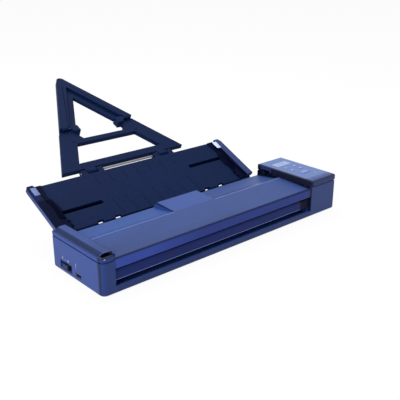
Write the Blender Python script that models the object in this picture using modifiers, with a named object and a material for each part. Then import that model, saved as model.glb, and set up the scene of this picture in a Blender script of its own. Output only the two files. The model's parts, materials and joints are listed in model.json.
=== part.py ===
"""Portable document scanner with a folding paper support.

Metres, +Z up. X runs along the scanner, with the control pod at +X. The paper
enters at the rear (+Y) and leaves at the front (-Y). The origin is the middle
of the base's underside.
"""

import math

import bmesh
import bpy
from mathutils import Matrix, Vector

# Clearances
gap = 0.0003
running_gap = 0.0005
overrun = 0.001
merge_distance = 0.00001

# Body
body_width = 0.293
body_depth = 0.077
left_block_width = 0.0128
right_block_width = 0.0377
left_seam_height = 0.0292
right_seam_height = 0.0319
left_top_height = 0.0343
pod_height = 0.0062
shell_wall = 0.0022
floor_thickness = 0.0022
lip_height = 0.0062
rear_wall_height = 0.018
front_corner_radius = 0.005
corner_radius = 0.0014

# Rubber feet
foot_radius = 0.005
foot_depth = 0.0016
foot_standing = 0.0008
foot_inset = 0.014

# Screws under the caps
screw_radius = 0.0014
screw_head_radius = 0.0026
screw_head_height = 0.0012
screw_reach = 0.003
screw_inset = 0.0075
screw_boss_radius = 0.0034

# Lower paper guide
paper_height = 0.0206
guide_skin = 0.002
guide_front_inset = 0.0022
guide_front_bottom = 0.0105
guide_nose_radius = 0.004
guide_rear_inset = 0.004
exit_gap = 0.0012

# Top cover
cover_front_height = 0.0305
cover_ridge_inset = 0.042
cover_ridge_height = 0.0322
cover_break_inset = 0.052
cover_break_height = 0.029
cover_rear_height = 0.0262
cover_rear_inset = 0.001
cover_lip_thickness = 0.002
cover_skin = 0.0018
cover_plate_thickness = 0.0008
cover_wall_rise_inset = 0.060
cover_cavity_inset = 0.068
cover_arm_width = 0.006
cover_arm_reach = 0.008
cover_arm_behind = 0.0025
cover_arm_bottom = 0.0228
cover_arm_top = 0.0256
cover_notch_reach = 0.0125
cover_notch_top = 0.0343
cover_pin_length = 0.0085
pin_post_width = 0.003
cover_hinge_inset = 0.005
cover_hinge_height = 0.028
cover_boss_radius = 0.003
cover_pin_radius = 0.00125
bump_width = 0.050
bump_height = 0.0335
bump_inset = 0.008
bump_rear_drop = 0.005

# Left wing of the cover, finger recess and latch
rim_width = 0.0024
wing_top_height = 0.0366
wing_slope_width = 0.0028
wing_side_height = 0.0344
wing_bottom_height = 0.0312
wing_blend_width = 0.0046
wing_blend_height = 0.0315
wing_skin = 0.002
wing_edge = 0.0008
wing_rear_inset = 0.0025
wing_front_slope_length = 0.003
wing_front_drop = 0.0008
recess_front_inset = 0.0022
recess_rear_inset = 0.0054
recess_floor = 0.0314
latch_depth = 0.0016
latch_height = 0.0022
latch_edge = 0.0004

# Feed rollers and gear train
gear_module = 0.0006
pinion_teeth = 14
idler_teeth = 17
roller_teeth = 24
rack_module = 0.0008
rack_pinion_teeth = 14
gear_width = 0.0034
roller_shaft_radius = 0.0015
roller_radius = 0.0055
roller_width = 0.018
exit_roller_spread = 0.045
feed_roller_spread = 0.018
drive_inset = 0.0345
motor_side = 0.016
motor_length = 0.020
motor_shaft_radius = 0.0012
stud_radius = 0.0013
idle_roller_radius = 0.0032
idle_drum_width = 0.012
feed_idler_radius = 0.0042
feed_idler_width = 0.022
nip_gap = 0.0004
ear_width = 0.002

# Sensors, boards and battery
sensor_left_margin = 0.0097
sensor_right_margin = 0.0168
sensor_depth = 0.0115
sensor_height = 0.0105
sensor_glass_thickness = 0.001
sensor_glass_border = 0.0012
lower_sensor_inset = 0.040
upper_sensor_inset = 0.028
upper_sensor_height = 0.0052
board_thickness = 0.0014
main_board_share = 0.45
main_board_depth = 0.048
battery_share = 0.35
battery_depth = 0.042
battery_height = 0.005

# Switch and socket on the left face
switch_inset = 0.056
switch_height = 0.0072
switch_slot_length = 0.018
switch_slot_height = 0.0058
switch_knob_length = 0.0082
switch_knob_stand = 0.0014
switch_ridges = 5
switch_body_depth = 0.0042
socket_inset = 0.0365
socket_height = 0.0056
socket_width = 0.0082
socket_thickness = 0.0032
socket_skin = 0.0005
socket_length = 0.0056

# Control pod
pod_skin = 0.002
pod_chamfer = 0.0020
pod_chamfer_drop = 0.0008
pod_groove_width = 0.0006
pod_groove_depth = 0.0004
pod_groove_pitch = 0.0024
pod_groove_count = 3
display_width = 0.0205
display_depth = 0.0095
display_inset = 0.060
display_recess = 0.0008
button_stand = 0.0006
button_length = 0.0052
small_button_radius = 0.0021
scan_button_width = 0.011
scan_button_depth = 0.0065
status_lens_radius = 0.0011
button_clearance = 0.0003
button_row = 0.0065
power_row_inset = 0.0465
arrow_row_inset = 0.0375
scan_row_inset = 0.0265
status_inset = 0.0175
control_board_drop = 0.0052

# Folding paper support
tray_slope = math.radians(25.2)
tray_start_inset = 0.001
tray_start_height = 0.025
tray_centre_offset = -0.0160
guide_overhang = 0.002
panel_start = 0.0055
panel_length = 0.0635
panel_top = 0.0035
panel_thickness = 0.003
panel_hinge_along = 0.0045
panel_hinge_drop = 0.0085
knuckle_radius = 0.0032
knuckle_width = 0.012
knuckle_spread = 0.066
knuckle_gap = 0.0004
tray_pin_radius = 0.00125
side_guide_length = 0.0615
side_guide_width = 0.0185
side_guide_top = 0.0005
side_guide_flange = 0.0012
side_guide_inner = 0.1035
side_guide_start = 0.0065
side_guide_travel = 0.050
guide_foot_length = 0.006
guide_foot_width = 0.004
rack_height = 0.0024
rack_back = 0.0022
rack_from_start = 0.036
rack_cover_skin = 0.001
rack_cover_clearance = 0.0004

# Middle frame and loop
frame_hinge_along = 0.0735
frame_hinge_drop = 0.0065
frame_knuckle_spread = 0.045
frame_knuckle_radius = 0.003
frame_start = 0.0775
frame_crossbar = 0.115
frame_crossbar_end = 0.121
frame_top = 0.0043
frame_thickness = 0.005
frame_bar = 0.0085
seam_along = 0.137
loop_spread = 0.0460
loop_head_radius = 0.0047
loop_head_half = 0.0085
loop_head_start = 0.211
loop_leg_width = 0.0115
loop_flange_width = 0.0085
loop_flange_drop = 0.0035
loop_thickness = 0.0075
bracket_flare = 0.0085
loop_hinge_drop = 0.002
loop_knuckle_radius = 0.00185
cheek_width = 0.010
cheek_reach = 0.0025
cheek_back = 0.006
cheek_drop = 0.0008
loop_pin_radius = 0.0008
loop_pin_length = 0.008

# Shares of the tooth pitch, and of the module, that shape a tooth
tip_share = 0.20
pitch_share = 0.42
root_share = 0.58
addendum_share = 0.85
dedendum_share = 1.15

# The side guide's outline as shares of its width and length, from its inner front corner
guide_outline_shares = (
    (0.06, 0.0),
    (0.06, 0.08),
    (-0.02, 0.10),
    (-0.02, 0.19),
    (0.06, 0.20),
    (0.04, 0.37),
    (-0.07, 0.43),
    (0.09, 0.69),
    (0.20, 0.70),
    (0.10, 1.0),
    (0.50, 1.0),
    (0.54, 0.97),
    (0.58, 1.0),
    (0.90, 1.0),
    (1.0, 0.93),
    (1.0, 0.0),
)
rail_outline_shares = ((0.52, 0.0), (0.42, 0.45), (0.54, 0.66), (0.54, 0.97), (0.58, 1.0), (0.90, 1.0),
                       (1.0, 0.93), (1.0, 0.0))

# Places that follow from the sizes
left_x = -body_width / 2
right_x = body_width / 2
front_y = -body_depth / 2
rear_y = body_depth / 2
slot_left = left_x + left_block_width
slot_right = right_x - right_block_width
slot_middle = (slot_left + slot_right) / 2
feed_middle = tray_centre_offset
pod_top_height = right_seam_height + pod_height
sensor_x = (slot_left + sensor_left_margin, slot_right - sensor_right_margin)
main_board_width = main_board_share * (slot_right - slot_left)
battery_width = battery_share * (slot_right - slot_left)
panel_reach = side_guide_inner + side_guide_width - guide_overhang
drive_y = front_y + drive_inset
train_reach = gear_module * (pinion_teeth / 2 + idler_teeth + roller_teeth / 2)
idler_reach = gear_module * (pinion_teeth + idler_teeth) / 2
exit_y = drive_y - train_reach
feed_y = drive_y + train_reach
roller_z = paper_height - roller_radius
gear_x = slot_right + shell_wall + running_gap + gear_width / 2
cover_left = slot_left + gap
cover_right = slot_right - gap
cover_hinge_y = rear_y - cover_hinge_inset
cover_bottom = paper_height + exit_gap
switch_y = front_y + switch_inset
socket_y = front_y + socket_inset
motor_x = gear_x + gear_width / 2 + 2 * running_gap + motor_length / 2
arm_x = slot_right + shell_wall + running_gap
boss_left = left_x + shell_wall + 2 * gap
boss_right = slot_left - shell_wall - 2 * gap
cover_pin_x = {
    -1: left_x + shell_wall / 2 + cover_pin_length / 2,
    1: arm_x + cover_arm_width + running_gap + pin_post_width - cover_pin_length / 2,
}
tray_origin = Vector((0, rear_y - tray_start_inset, tray_start_height))
along = Vector((0, math.cos(tray_slope), math.sin(tray_slope)))
normal = Vector((0, -math.sin(tray_slope), math.cos(tray_slope)))
tray_axis = tray_origin + along * panel_hinge_along - normal * panel_hinge_drop
tray_axis_y = tray_axis.y
tray_axis_z = tray_axis.z
screw_top = right_seam_height + screw_reach
screw_places = [
    (right_x - screw_inset, front_y + screw_inset),
    (right_x - screw_inset, rear_y - screw_inset),
]
foot_places = [
    (side_x, side_y)
    for side_x in (left_x + foot_inset, right_x - foot_inset)
    for side_y in (front_y + foot_inset, rear_y - foot_inset)
]
lower_sensor_y = front_y + lower_sensor_inset
upper_sensor_y = front_y + upper_sensor_inset
lower_board_y = exit_y + roller_radius + running_gap + overrun + guide_skin + gap
exit_idler_z = paper_height + nip_gap + idle_roller_radius
feed_idler_z = paper_height + nip_gap + feed_idler_radius
rack_middle = rack_from_start
rack_pinion_radius = rack_module * rack_pinion_teeth / 2
foot_line = rack_pinion_radius + dedendum_share * rack_module + rack_back - guide_foot_width / 2
foot_reach = side_guide_inner + side_guide_width / 2
pod_middle = (slot_right + right_x) / 2
display_x = pod_middle + pod_skin / 2
display_y = front_y + display_inset
small_buttons = {
    "mode_button": (pod_middle - button_row, front_y + power_row_inset),
    "power_button": (pod_middle + button_row, front_y + power_row_inset),
    "back_button": (pod_middle - button_row, front_y + arrow_row_inset),
    "next_button": (pod_middle + button_row, front_y + arrow_row_inset),
}
scan_button_place = (pod_middle, front_y + scan_row_inset)
status_place = (pod_middle + button_row, front_y + status_inset)

for old in list(bpy.data.objects):
    bpy.data.objects.remove(old, do_unlink=True)

parts = bpy.data.collections.new("document_scanner")
cutters = bpy.data.collections.new("cutters")
bpy.context.scene.collection.children.link(parts)
bpy.context.scene.collection.children.link(cutters)
cutters.hide_render = True


def material(name, colour, roughness, metallic=0.0):
    made = bpy.data.materials.get(name)
    if made:
        return made
    made = bpy.data.materials.new(name)
    made.use_nodes = True
    shader = made.node_tree.nodes["Principled BSDF"]
    shader.inputs["Base Color"].default_value = (*colour, 1.0)
    shader.inputs["Roughness"].default_value = roughness
    shader.inputs["Metallic"].default_value = metallic
    return made


case_plastic = material("case_plastic", (0.020, 0.024, 0.040), 0.45)
guide_plastic = material("guide_plastic", (0.008, 0.010, 0.018), 0.5)
grey_plastic = material("grey_plastic", (0.16, 0.18, 0.24), 0.5)
rubber = material("rubber", (0.02, 0.02, 0.022), 0.9)
steel = material("steel", (0.55, 0.56, 0.58), 0.3, 1.0)
nylon = material("nylon", (0.75, 0.74, 0.70), 0.55)
glass = material("glass", (0.25, 0.32, 0.38), 0.08)
board_green = material("board_green", (0.01, 0.10, 0.04), 0.5)
display_glass = material("display_glass", (0.30, 0.36, 0.50), 0.12)
pack_silver = material("pack_silver", (0.45, 0.46, 0.48), 0.4, 0.6)


def finish_object(name, mesh, look, location=(0, 0, 0), turn=None, helper=False):
    obj = bpy.data.objects.new(name, mesh)
    (cutters if helper else parts).objects.link(obj)
    obj.location = location
    if turn is not None:
        obj.rotation_euler = turn
    if helper:
        obj.hide_render = True
        obj.display_type = "WIRE"
    elif look:
        mesh.materials.clear()
        mesh.materials.append(look)
    return obj


def box(name, x, y, z, look=None, helper=False):
    """A box between pairs of limits along X, Y and Z."""
    low = Vector((min(x), min(y), min(z)))
    high = Vector((max(x), max(y), max(z)))
    shape = bmesh.new()
    bmesh.ops.create_cube(shape, size=1.0)
    size = high - low
    bmesh.ops.scale(shape, vec=size, verts=shape.verts)
    bmesh.ops.translate(shape, vec=(low + high) / 2, verts=shape.verts)
    mesh = bpy.data.meshes.new(name)
    shape.to_mesh(mesh)
    shape.free()
    return finish_object(name, mesh, look, helper=helper)


turns = {
    "X": Matrix.Rotation(math.radians(90), 4, "Y"),
    "Y": Matrix.Rotation(math.radians(-90), 4, "X"),
    "Z": Matrix.Identity(4),
}


def rod(name, centre, radius, length, axis="X", look=None, helper=False, sides=24):
    """A cylinder of this length about its centre, along one axis."""
    shape = bmesh.new()
    bmesh.ops.create_cone(shape, cap_ends=True, segments=sides, radius1=radius,
                          radius2=radius, depth=length)
    bmesh.ops.transform(shape, matrix=turns[axis], verts=shape.verts)
    bmesh.ops.translate(shape, vec=Vector(centre), verts=shape.verts)
    mesh = bpy.data.meshes.new(name)
    shape.to_mesh(mesh)
    shape.free()
    mesh.shade_smooth()
    mesh.set_sharp_from_angle(angle=math.radians(40))
    return finish_object(name, mesh, look, helper=helper)


# Each frame says which way an outline's two coordinates and its thickness run.
frames = {
    "YZ": Matrix(((0, 0, 1, 0), (1, 0, 0, 0), (0, 1, 0, 0), (0, 0, 0, 1))),
    "XZ": Matrix(((1, 0, 0, 0), (0, 0, -1, 0), (0, 1, 0, 0), (0, 0, 0, 1))),
    "XY": Matrix.Identity(4),
}


def slab(name, outline, limits, plane, look=None, helper=False):
    """A flat outline in one plane, given thickness between two limits across it."""
    curve = bpy.data.curves.new(name, "CURVE")
    curve.dimensions = "2D"
    curve.fill_mode = "BOTH"
    curve.extrude = abs(limits[1] - limits[0]) / 2
    spline = curve.splines.new("POLY")
    spline.points.add(len(outline) - 1)
    for point, (across, up) in zip(spline.points, outline):
        point.co = (across, up, 0, 1)
    spline.use_cyclic_u = True
    drawn = bpy.data.objects.new(name + "_outline", curve)
    cutters.objects.link(drawn)
    graph = bpy.context.evaluated_depsgraph_get()
    graph.update()
    mesh = bpy.data.meshes.new_from_object(drawn.evaluated_get(graph))
    bpy.data.objects.remove(drawn, do_unlink=True)
    mesh.name = name
    shape = bmesh.new()
    shape.from_mesh(mesh)
    bmesh.ops.remove_doubles(shape, verts=shape.verts, dist=merge_distance)
    middle = (limits[0] + limits[1]) / 2
    bmesh.ops.translate(shape, vec=(0, 0, -middle if plane == "XZ" else middle),
                        verts=shape.verts)
    bmesh.ops.transform(shape, matrix=frames[plane], verts=shape.verts)
    bmesh.ops.recalc_face_normals(shape, faces=shape.faces)
    shape.to_mesh(mesh)
    shape.free()
    return finish_object(name, mesh, look, helper=helper)


def round_edges(obj, width, segments=2, angle=50):
    made = obj.modifiers.new("round_edges", "BEVEL")
    made.width = width
    made.segments = segments
    made.limit_method = "ANGLE"
    made.angle_limit = math.radians(angle)
    made.use_clamp_overlap = True
    return obj


def combine(target, others, operation):
    for other in others:
        made = target.modifiers.new(operation.lower(), "BOOLEAN")
        made.operation = operation
        made.object = other
        made.solver = "EXACT"
    return target


def cut(target, *others):
    return combine(target, others, "DIFFERENCE")


def join(target, *others):
    return combine(target, others, "UNION")


def pivot(obj, point):
    """Moves the object's origin to a point on its joint's axis, leaving its shape in place."""
    shift = Vector(point)
    obj.data.transform(Matrix.Translation(-shift))
    obj.location = shift
    return obj


def arc(centre, radius, start, end, steps):
    """Points along an arc, angles in degrees."""
    found = []
    for step in range(steps + 1):
        angle = math.radians(start + (end - start) * step / steps)
        found.append((centre[0] + radius * math.cos(angle), centre[1] + radius * math.sin(angle)))
    return found


# Base housing: an open tray with a closed block at each end
def case_block(name, high_x, z):
    """A block from the left face to high_x, with the case's rounded front left corner."""
    block = box(name, (left_x, high_x), (front_y, rear_y), z, case_plastic)
    shape = bmesh.new()
    shape.from_mesh(block.data)
    corner = [edge for edge in shape.edges
              if all(vertex.co.x < left_x + gap and vertex.co.y < front_y + gap for vertex in edge.verts)]
    bmesh.ops.bevel(shape, geom=corner, offset=front_corner_radius, segments=6, affect="EDGES",
                    profile=0.5, clamp_overlap=True)
    shape.to_mesh(block.data)
    shape.free()
    return block


def base_housing():
    housing = case_block("base_housing", right_x, (0, right_seam_height))
    round_edges(housing, corner_radius, 2)
    inner_left = slot_left - shell_wall
    inner_right = slot_right + shell_wall
    top = right_seam_height + overrun
    inside_front = front_y + shell_wall
    inside_rear = rear_y - shell_wall
    cut(
        housing,
        box("left_top_cut", (left_x - overrun, slot_left), (front_y - overrun, rear_y + overrun),
            (left_seam_height, top), helper=True),
        box("slot_cut", (slot_left, slot_right), (front_y - overrun, inside_rear), (lip_height, top),
            helper=True),
        box("slot_floor_cut", (slot_left, slot_right), (inside_front, inside_rear),
            (floor_thickness, top), helper=True),
        box("inlet_cut", (slot_left, slot_right), (inside_front, rear_y + overrun),
            (rear_wall_height, top), helper=True),
        box("left_cavity", (left_x + shell_wall, inner_left), (inside_front, inside_rear),
            (floor_thickness, top), helper=True),
        box("right_cavity", (inner_right, right_x - shell_wall), (inside_front, inside_rear),
            (floor_thickness, top), helper=True),
    )
    additions = []
    for side in (-1, 1):
        ear_x = feed_middle + side * knuckle_spread
        for edge in (-1, 1):
            low = ear_x + edge * (knuckle_width / 2 + knuckle_gap)
            high = low + edge * knuckle_width / 2
            ear = rod(f"ear_{side}_{edge}", ((low + high) / 2, tray_axis_y, tray_axis_z), knuckle_radius,
                      abs(high - low), helper=True)
            web = box(f"ear_web_{side}_{edge}", (low, high), (inside_rear, tray_axis_y),
                      (tray_axis_z - knuckle_radius, tray_axis_z), helper=True)
            additions += [ear, web]
    for offset in (-idler_reach, idler_reach):
        additions.append(rod(f"idler_stud_{offset > 0}", (
            (inner_right - shell_wall / 2 + gear_x + gear_width) / 2, drive_y + offset, roller_z),
            stud_radius, gear_x + gear_width - inner_right + shell_wall / 2, helper=True))
    cradle_x = motor_x - motor_length / 2
    additions.append(box("motor_cradle", (cradle_x, cradle_x + motor_length),
                         (drive_y - motor_side / 2, drive_y + motor_side / 2),
                         (floor_thickness / 2, roller_z - motor_side / 2 - gap), helper=True))
    boss_top = right_seam_height - gap
    for index, (x, y) in enumerate(screw_places):
        additions.append(rod(f"screw_boss_{index}", (x, y, (boss_top + floor_thickness / 2) / 2),
                             screw_boss_radius, boss_top - floor_thickness / 2, "Z", helper=True))
    post_x = arm_x + cover_arm_width + running_gap
    additions.append(box("cover_pin_post", (post_x, post_x + pin_post_width),
                         (cover_hinge_y - cover_boss_radius, inside_rear + overrun),
                         (floor_thickness / 2, cover_hinge_height + cover_boss_radius), helper=True))
    join(housing, *additions)
    removals = []
    for y in (exit_y, feed_y):
        for wall_x in (slot_left - shell_wall / 2, slot_right + shell_wall / 2):
            removals.append(rod(f"bearing_{y > drive_y}_{wall_x > 0}", (wall_x, y, roller_z),
                                roller_shaft_radius + gap, shell_wall + 2 * overrun, helper=True))
    removals.append(rod("tray_pin_bore", (feed_middle, tray_axis_y, tray_axis_z), tray_pin_radius + gap,
                        2 * (knuckle_spread + 2 * knuckle_width), helper=True))
    removals.append(box("switch_slot", (left_x - overrun, left_x + shell_wall + overrun),
                        (switch_y - switch_slot_length / 2, switch_y + switch_slot_length / 2),
                        (switch_height - switch_slot_height / 2, switch_height + switch_slot_height / 2),
                        helper=True))
    removals.append(box("socket_slot", (left_x - overrun, left_x + shell_wall + overrun),
                        (socket_y - socket_width / 2 - gap, socket_y + socket_width / 2 + gap),
                        (socket_height - socket_thickness / 2 - gap,
                         socket_height + socket_thickness / 2 + gap),
                        helper=True))
    removals.append(box("cover_arm_notch", (slot_right - overrun, inner_right + overrun),
                        (cover_hinge_y - cover_notch_reach,
                         cover_hinge_y + cover_boss_radius + running_gap),
                        (cover_bottom, top), helper=True))
    removals.append(box("wing_rear_notch", (left_x + rim_width, slot_left + overrun),
                        (inside_rear - overrun, rear_y + overrun), (cover_hinge_height, top), helper=True))
    for room_low, room_high in ((boss_left, boss_right), (arm_x, arm_x + cover_arm_width)):
        removals.append(rod(f"boss_room_{room_low > 0}",
                            ((room_low + room_high) / 2, cover_hinge_y, cover_hinge_height),
                            cover_boss_radius + running_gap, room_high - room_low + 2 * running_gap,
                            helper=True))
    for side in (-1, 1):
        removals.append(rod(f"cover_pin_seat_{side}",
                            (cover_pin_x[side], cover_hinge_y, cover_hinge_height),
                            cover_pin_radius + gap, cover_pin_length + 2 * gap, helper=True))
    for index, (x, y) in enumerate(screw_places):
        removals.append(rod(f"screw_hole_{index}", (x, y, screw_top / 2),
                            screw_radius + gap, screw_top + 2 * overrun, "Z", helper=True))
        removals.append(rod(f"screw_sink_{index}", (x, y, 0),
                            screw_head_radius + gap, 2 * (screw_head_height + gap), "Z", helper=True))
    for index, (x, y) in enumerate(foot_places):
        removals.append(rod(f"foot_seat_{index}", (x, y, 0), foot_radius + gap,
                            2 * (foot_depth - foot_standing), "Z", helper=True))
    cut(housing, *removals)
    return housing


def left_rim_cap():
    bottom = left_seam_height + gap
    cap = case_block("left_rim_cap", slot_left, (bottom, left_top_height))
    round_edges(cap, corner_radius, 2)
    inner = left_x + rim_width
    cut(
        cap,
        box("wing_space", (inner, slot_left + overrun), (front_y + recess_rear_inset, rear_y + overrun),
            (bottom - overrun, left_top_height + overrun), helper=True),
        box("finger_recess", (inner, slot_left + overrun), (front_y + recess_front_inset, rear_y),
            (recess_floor, left_top_height + overrun), helper=True),
        rod("left_boss_room", ((boss_left + boss_right) / 2, cover_hinge_y, cover_hinge_height),
            cover_boss_radius + running_gap, boss_right - boss_left + 2 * running_gap, helper=True),
    )
    return cap


def cover_latch():
    low_y = front_y + recess_front_inset + gap
    latch = box("cover_latch", (left_x + rim_width + gap, slot_left - 2 * gap),
                (low_y, low_y + latch_depth),
                (recess_floor + gap, recess_floor + gap + latch_height), guide_plastic)
    round_edges(latch, latch_edge, 1)
    return pivot(latch, ((left_x + rim_width + slot_left) / 2, low_y, recess_floor + gap))


def control_pod():
    bottom = right_seam_height + gap
    edge = pod_top_height - pod_chamfer_drop
    outline = [
        (front_y, bottom),
        (front_y, edge),
        (front_y + pod_chamfer, pod_top_height),
        (rear_y, pod_top_height),
        (rear_y, bottom),
    ]
    pod = slab("control_pod", outline, (slot_right, right_x), "YZ", case_plastic)
    round_edges(pod, corner_radius / 2, 2, 30)
    inside_top = pod_top_height - pod_skin
    cut(pod, box("pod_cavity", (slot_right + shell_wall, right_x - shell_wall),
                 (front_y + pod_chamfer, rear_y - shell_wall), (bottom - overrun, inside_top), helper=True))
    bosses = []
    for index, (x, y) in enumerate(screw_places):
        bosses.append(rod(f"pod_boss_{index}", (x, y, (bottom + pod_top_height - pod_skin / 2) / 2),
                          screw_boss_radius, pod_top_height - pod_skin / 2 - bottom, "Z", helper=True))
    join(pod, *bosses)
    removals = [
        box("pod_arm_notch", (slot_right - overrun, slot_right + shell_wall + overrun),
            (cover_hinge_y - cover_notch_reach, rear_y - shell_wall), (bottom - overrun, cover_notch_top),
            helper=True),
        box("display_seat", (display_x - display_width / 2 - gap, display_x + display_width / 2 + gap),
            (display_y - display_depth / 2 - gap, display_y + display_depth / 2 + gap),
            (pod_top_height - display_recess, pod_top_height + overrun), helper=True),
        rod("status_seat", (*status_place, pod_top_height), status_lens_radius + gap,
            2 * display_recess, "Z", helper=True, sides=16),
    ]
    for index, (x, y) in enumerate(screw_places):
        removals.append(rod(f"pod_screw_hole_{index}", (x, y, bottom), screw_radius + gap,
                            2 * (screw_reach + gap), "Z", helper=True))
    for groove in range(pod_groove_count):
        y = front_y + pod_chamfer + (groove + 1) * pod_groove_pitch
        removals.append(box(f"pod_groove_{groove}", (slot_right - overrun, right_x + overrun),
                            (y - pod_groove_width / 2, y + pod_groove_width / 2),
                            (pod_top_height - pod_groove_depth, pod_top_height + overrun), helper=True))
    for name, (x, y) in small_buttons.items():
        removals.append(rod(name + "_hole", (x, y, pod_top_height), small_button_radius + button_clearance,
                            4 * pod_skin, "Z", helper=True, sides=20))
    x, y = scan_button_place
    removals.append(box("scan_button_hole", (x - scan_button_width / 2 - button_clearance,
                                             x + scan_button_width / 2 + button_clearance),
                        (y - scan_button_depth / 2 - button_clearance,
                         y + scan_button_depth / 2 + button_clearance),
                        (inside_top - overrun, pod_top_height + overrun), helper=True))
    cut(pod, *removals)
    return pod


def pod_pieces():
    top = pod_top_height + button_stand
    for name, (x, y) in small_buttons.items():
        button = rod(name, (x, y, top - button_length / 2), small_button_radius, button_length, "Z",
                     grey_plastic, sides=20)
        round_edges(button, gap, 1)
        pivot(button, (x, y, top))
    x, y = scan_button_place
    button = box("scan_button", (x - scan_button_width / 2, x + scan_button_width / 2),
                 (y - scan_button_depth / 2, y + scan_button_depth / 2), (top - button_length, top),
                 grey_plastic)
    round_edges(button, 2 * gap, 2)
    pivot(button, (x, y, top))
    floor = pod_top_height - display_recess + gap / 3
    box("display_window", (display_x - display_width / 2, display_x + display_width / 2),
        (display_y - display_depth / 2, display_y + display_depth / 2),
        (floor, pod_top_height), display_glass)
    rod("status_lens", (*status_place, (floor + pod_top_height + gap) / 2), status_lens_radius,
        pod_top_height + gap - floor, "Z", display_glass, sides=16)
    board_top = pod_top_height - control_board_drop
    box("control_board", (slot_right + shell_wall + gap, right_x - shell_wall - gap),
        (front_y + screw_inset + screw_boss_radius + gap, cover_hinge_y - cover_notch_reach - overrun),
        (board_top - board_thickness, board_top), board_green)


def left_face_pieces():
    outside = left_x - switch_knob_stand
    inside = left_x + shell_wall + gap
    knob = box("power_switch", (outside, inside + switch_knob_stand),
               (switch_y - switch_knob_length / 2, switch_y + switch_knob_length / 2),
               (switch_height - switch_slot_height / 2 + gap, switch_height + switch_slot_height / 2 - gap),
               guide_plastic)
    pitch = switch_knob_length / switch_ridges
    grooves = []
    for ridge in range(switch_ridges - 1):
        y = switch_y - switch_knob_length / 2 + (ridge + 1) * pitch
        grooves.append(box(f"ridge_{ridge}", (outside - overrun, outside + switch_knob_stand / 2),
                           (y - pitch / 4, y + pitch / 4), (0, 2 * switch_height), helper=True))
    cut(knob, *grooves)
    pivot(knob, (left_x, switch_y, switch_height))
    body_x = inside + switch_knob_stand + gap
    box("switch_body", (body_x, body_x + switch_body_depth - switch_knob_stand),
        (switch_y - switch_slot_length / 2, switch_y + switch_slot_length / 2),
        (floor_thickness + gap, switch_height + switch_slot_height), grey_plastic)
    socket = box("usb_socket", (left_x + gap, left_x + gap + socket_length),
                 (socket_y - socket_width / 2, socket_y + socket_width / 2),
                 (socket_height - socket_thickness / 2, socket_height + socket_thickness / 2), steel)
    cut(socket, box("socket_mouth", (left_x - overrun, left_x + socket_length - overrun),
                    (socket_y - socket_width / 2 + socket_skin, socket_y + socket_width / 2 - socket_skin),
                    (socket_height - socket_thickness / 2 + socket_skin,
                     socket_height + socket_thickness / 2 - socket_skin), helper=True))
    join(socket, box("socket_tongue", (left_x + 3 * overrun / 2, left_x + socket_length - overrun / 2),
                     (socket_y - socket_width / 4, socket_y + socket_width / 4),
                     (socket_height, socket_height + socket_skin), helper=True))


def paper_guide():
    low_x = slot_left + gap
    high_x = slot_right - gap
    nose_y = front_y + guide_front_inset
    rear = rear_y - guide_rear_inset
    under = paper_height - guide_skin
    foot = floor_thickness + gap
    leg = guide_skin
    leg_y = exit_y + roller_radius + running_gap + overrun
    outline = [(nose_y, guide_front_bottom)]
    outline += arc((nose_y + guide_nose_radius, paper_height - guide_nose_radius), guide_nose_radius,
                   180, 90, 5)
    outline += [(rear, paper_height), (rear, foot), (rear - leg, foot), (rear - leg, under)]
    outline += arc((nose_y + guide_nose_radius, paper_height - guide_nose_radius),
                   guide_nose_radius - guide_skin, 90, 180, 4)
    outline += [(nose_y + guide_skin, guide_front_bottom)]
    guide = slab("lower_paper_guide", outline, (low_x, high_x), "YZ", guide_plastic)
    join(guide, box("guide_leg", (low_x + overrun, high_x - overrun), (leg_y, leg_y + leg),
                    (foot, under + leg / 2), helper=True))
    removals = []
    for name, y, spread in (("exit", exit_y, exit_roller_spread), ("feed", feed_y, feed_roller_spread)):
        for side in (-1, 1):
            x = slot_middle + side * spread
            removals.append(box(f"{name}_window_{side}", (x - roller_width / 2 - running_gap,
                                                          x + roller_width / 2 + running_gap),
                                (y - roller_radius - running_gap, y + roller_radius + running_gap),
                                (under - overrun, paper_height + overrun), helper=True))
    border = sensor_glass_border + gap
    removals.append(box("sensor_window", (sensor_x[0] - border, sensor_x[1] + border),
                        (lower_sensor_y - sensor_depth / 2 - border,
                         lower_sensor_y + sensor_depth / 2 + border),
                        (under - overrun, paper_height + overrun), helper=True))
    return cut(guide, *removals)


def sensors_and_boards():
    border = sensor_glass_border
    glass_x = (sensor_x[0] - border, sensor_x[1] + border)
    body_x = sensor_x
    glass_bottom = paper_height - sensor_glass_thickness
    y = lower_sensor_y
    box("lower_sensor_glass", glass_x, (y - sensor_depth / 2 - border, y + sensor_depth / 2 + border),
        (glass_bottom, paper_height), glass)
    box("lower_sensor", body_x, (y - sensor_depth / 2, y + sensor_depth / 2),
        (glass_bottom - gap - sensor_height, glass_bottom - gap), guide_plastic)
    low = floor_thickness + gap
    box("main_board", (slot_left + 3 * guide_skin, slot_left + 3 * guide_skin + main_board_width),
        (lower_board_y, lower_board_y + main_board_depth), (low, low + board_thickness), board_green)
    box("battery_pack", (slot_right - 3 * guide_skin - battery_width, slot_right - 3 * guide_skin),
        (lower_board_y, lower_board_y + battery_depth), (low, low + battery_height), pack_silver)


def gear_outline(teeth, module, first_tooth):
    """A spur gear's outline, with a tooth centred on the angle first_tooth in degrees."""
    pitch = 2 * math.pi / teeth
    radius = module * teeth / 2
    levels = (
        (radius - dedendum_share * module, root_share),
        (radius, pitch_share),
        (radius + addendum_share * module, tip_share),
    )
    outline = []
    for tooth in range(teeth):
        middle = math.radians(first_tooth) + tooth * pitch
        for distance, share in levels:
            angle = middle - pitch * share / 2
            outline.append((distance * math.cos(angle), distance * math.sin(angle)))
        for distance, share in reversed(levels):
            angle = middle + pitch * share / 2
            outline.append((distance * math.cos(angle), distance * math.sin(angle)))
    return outline


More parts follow.
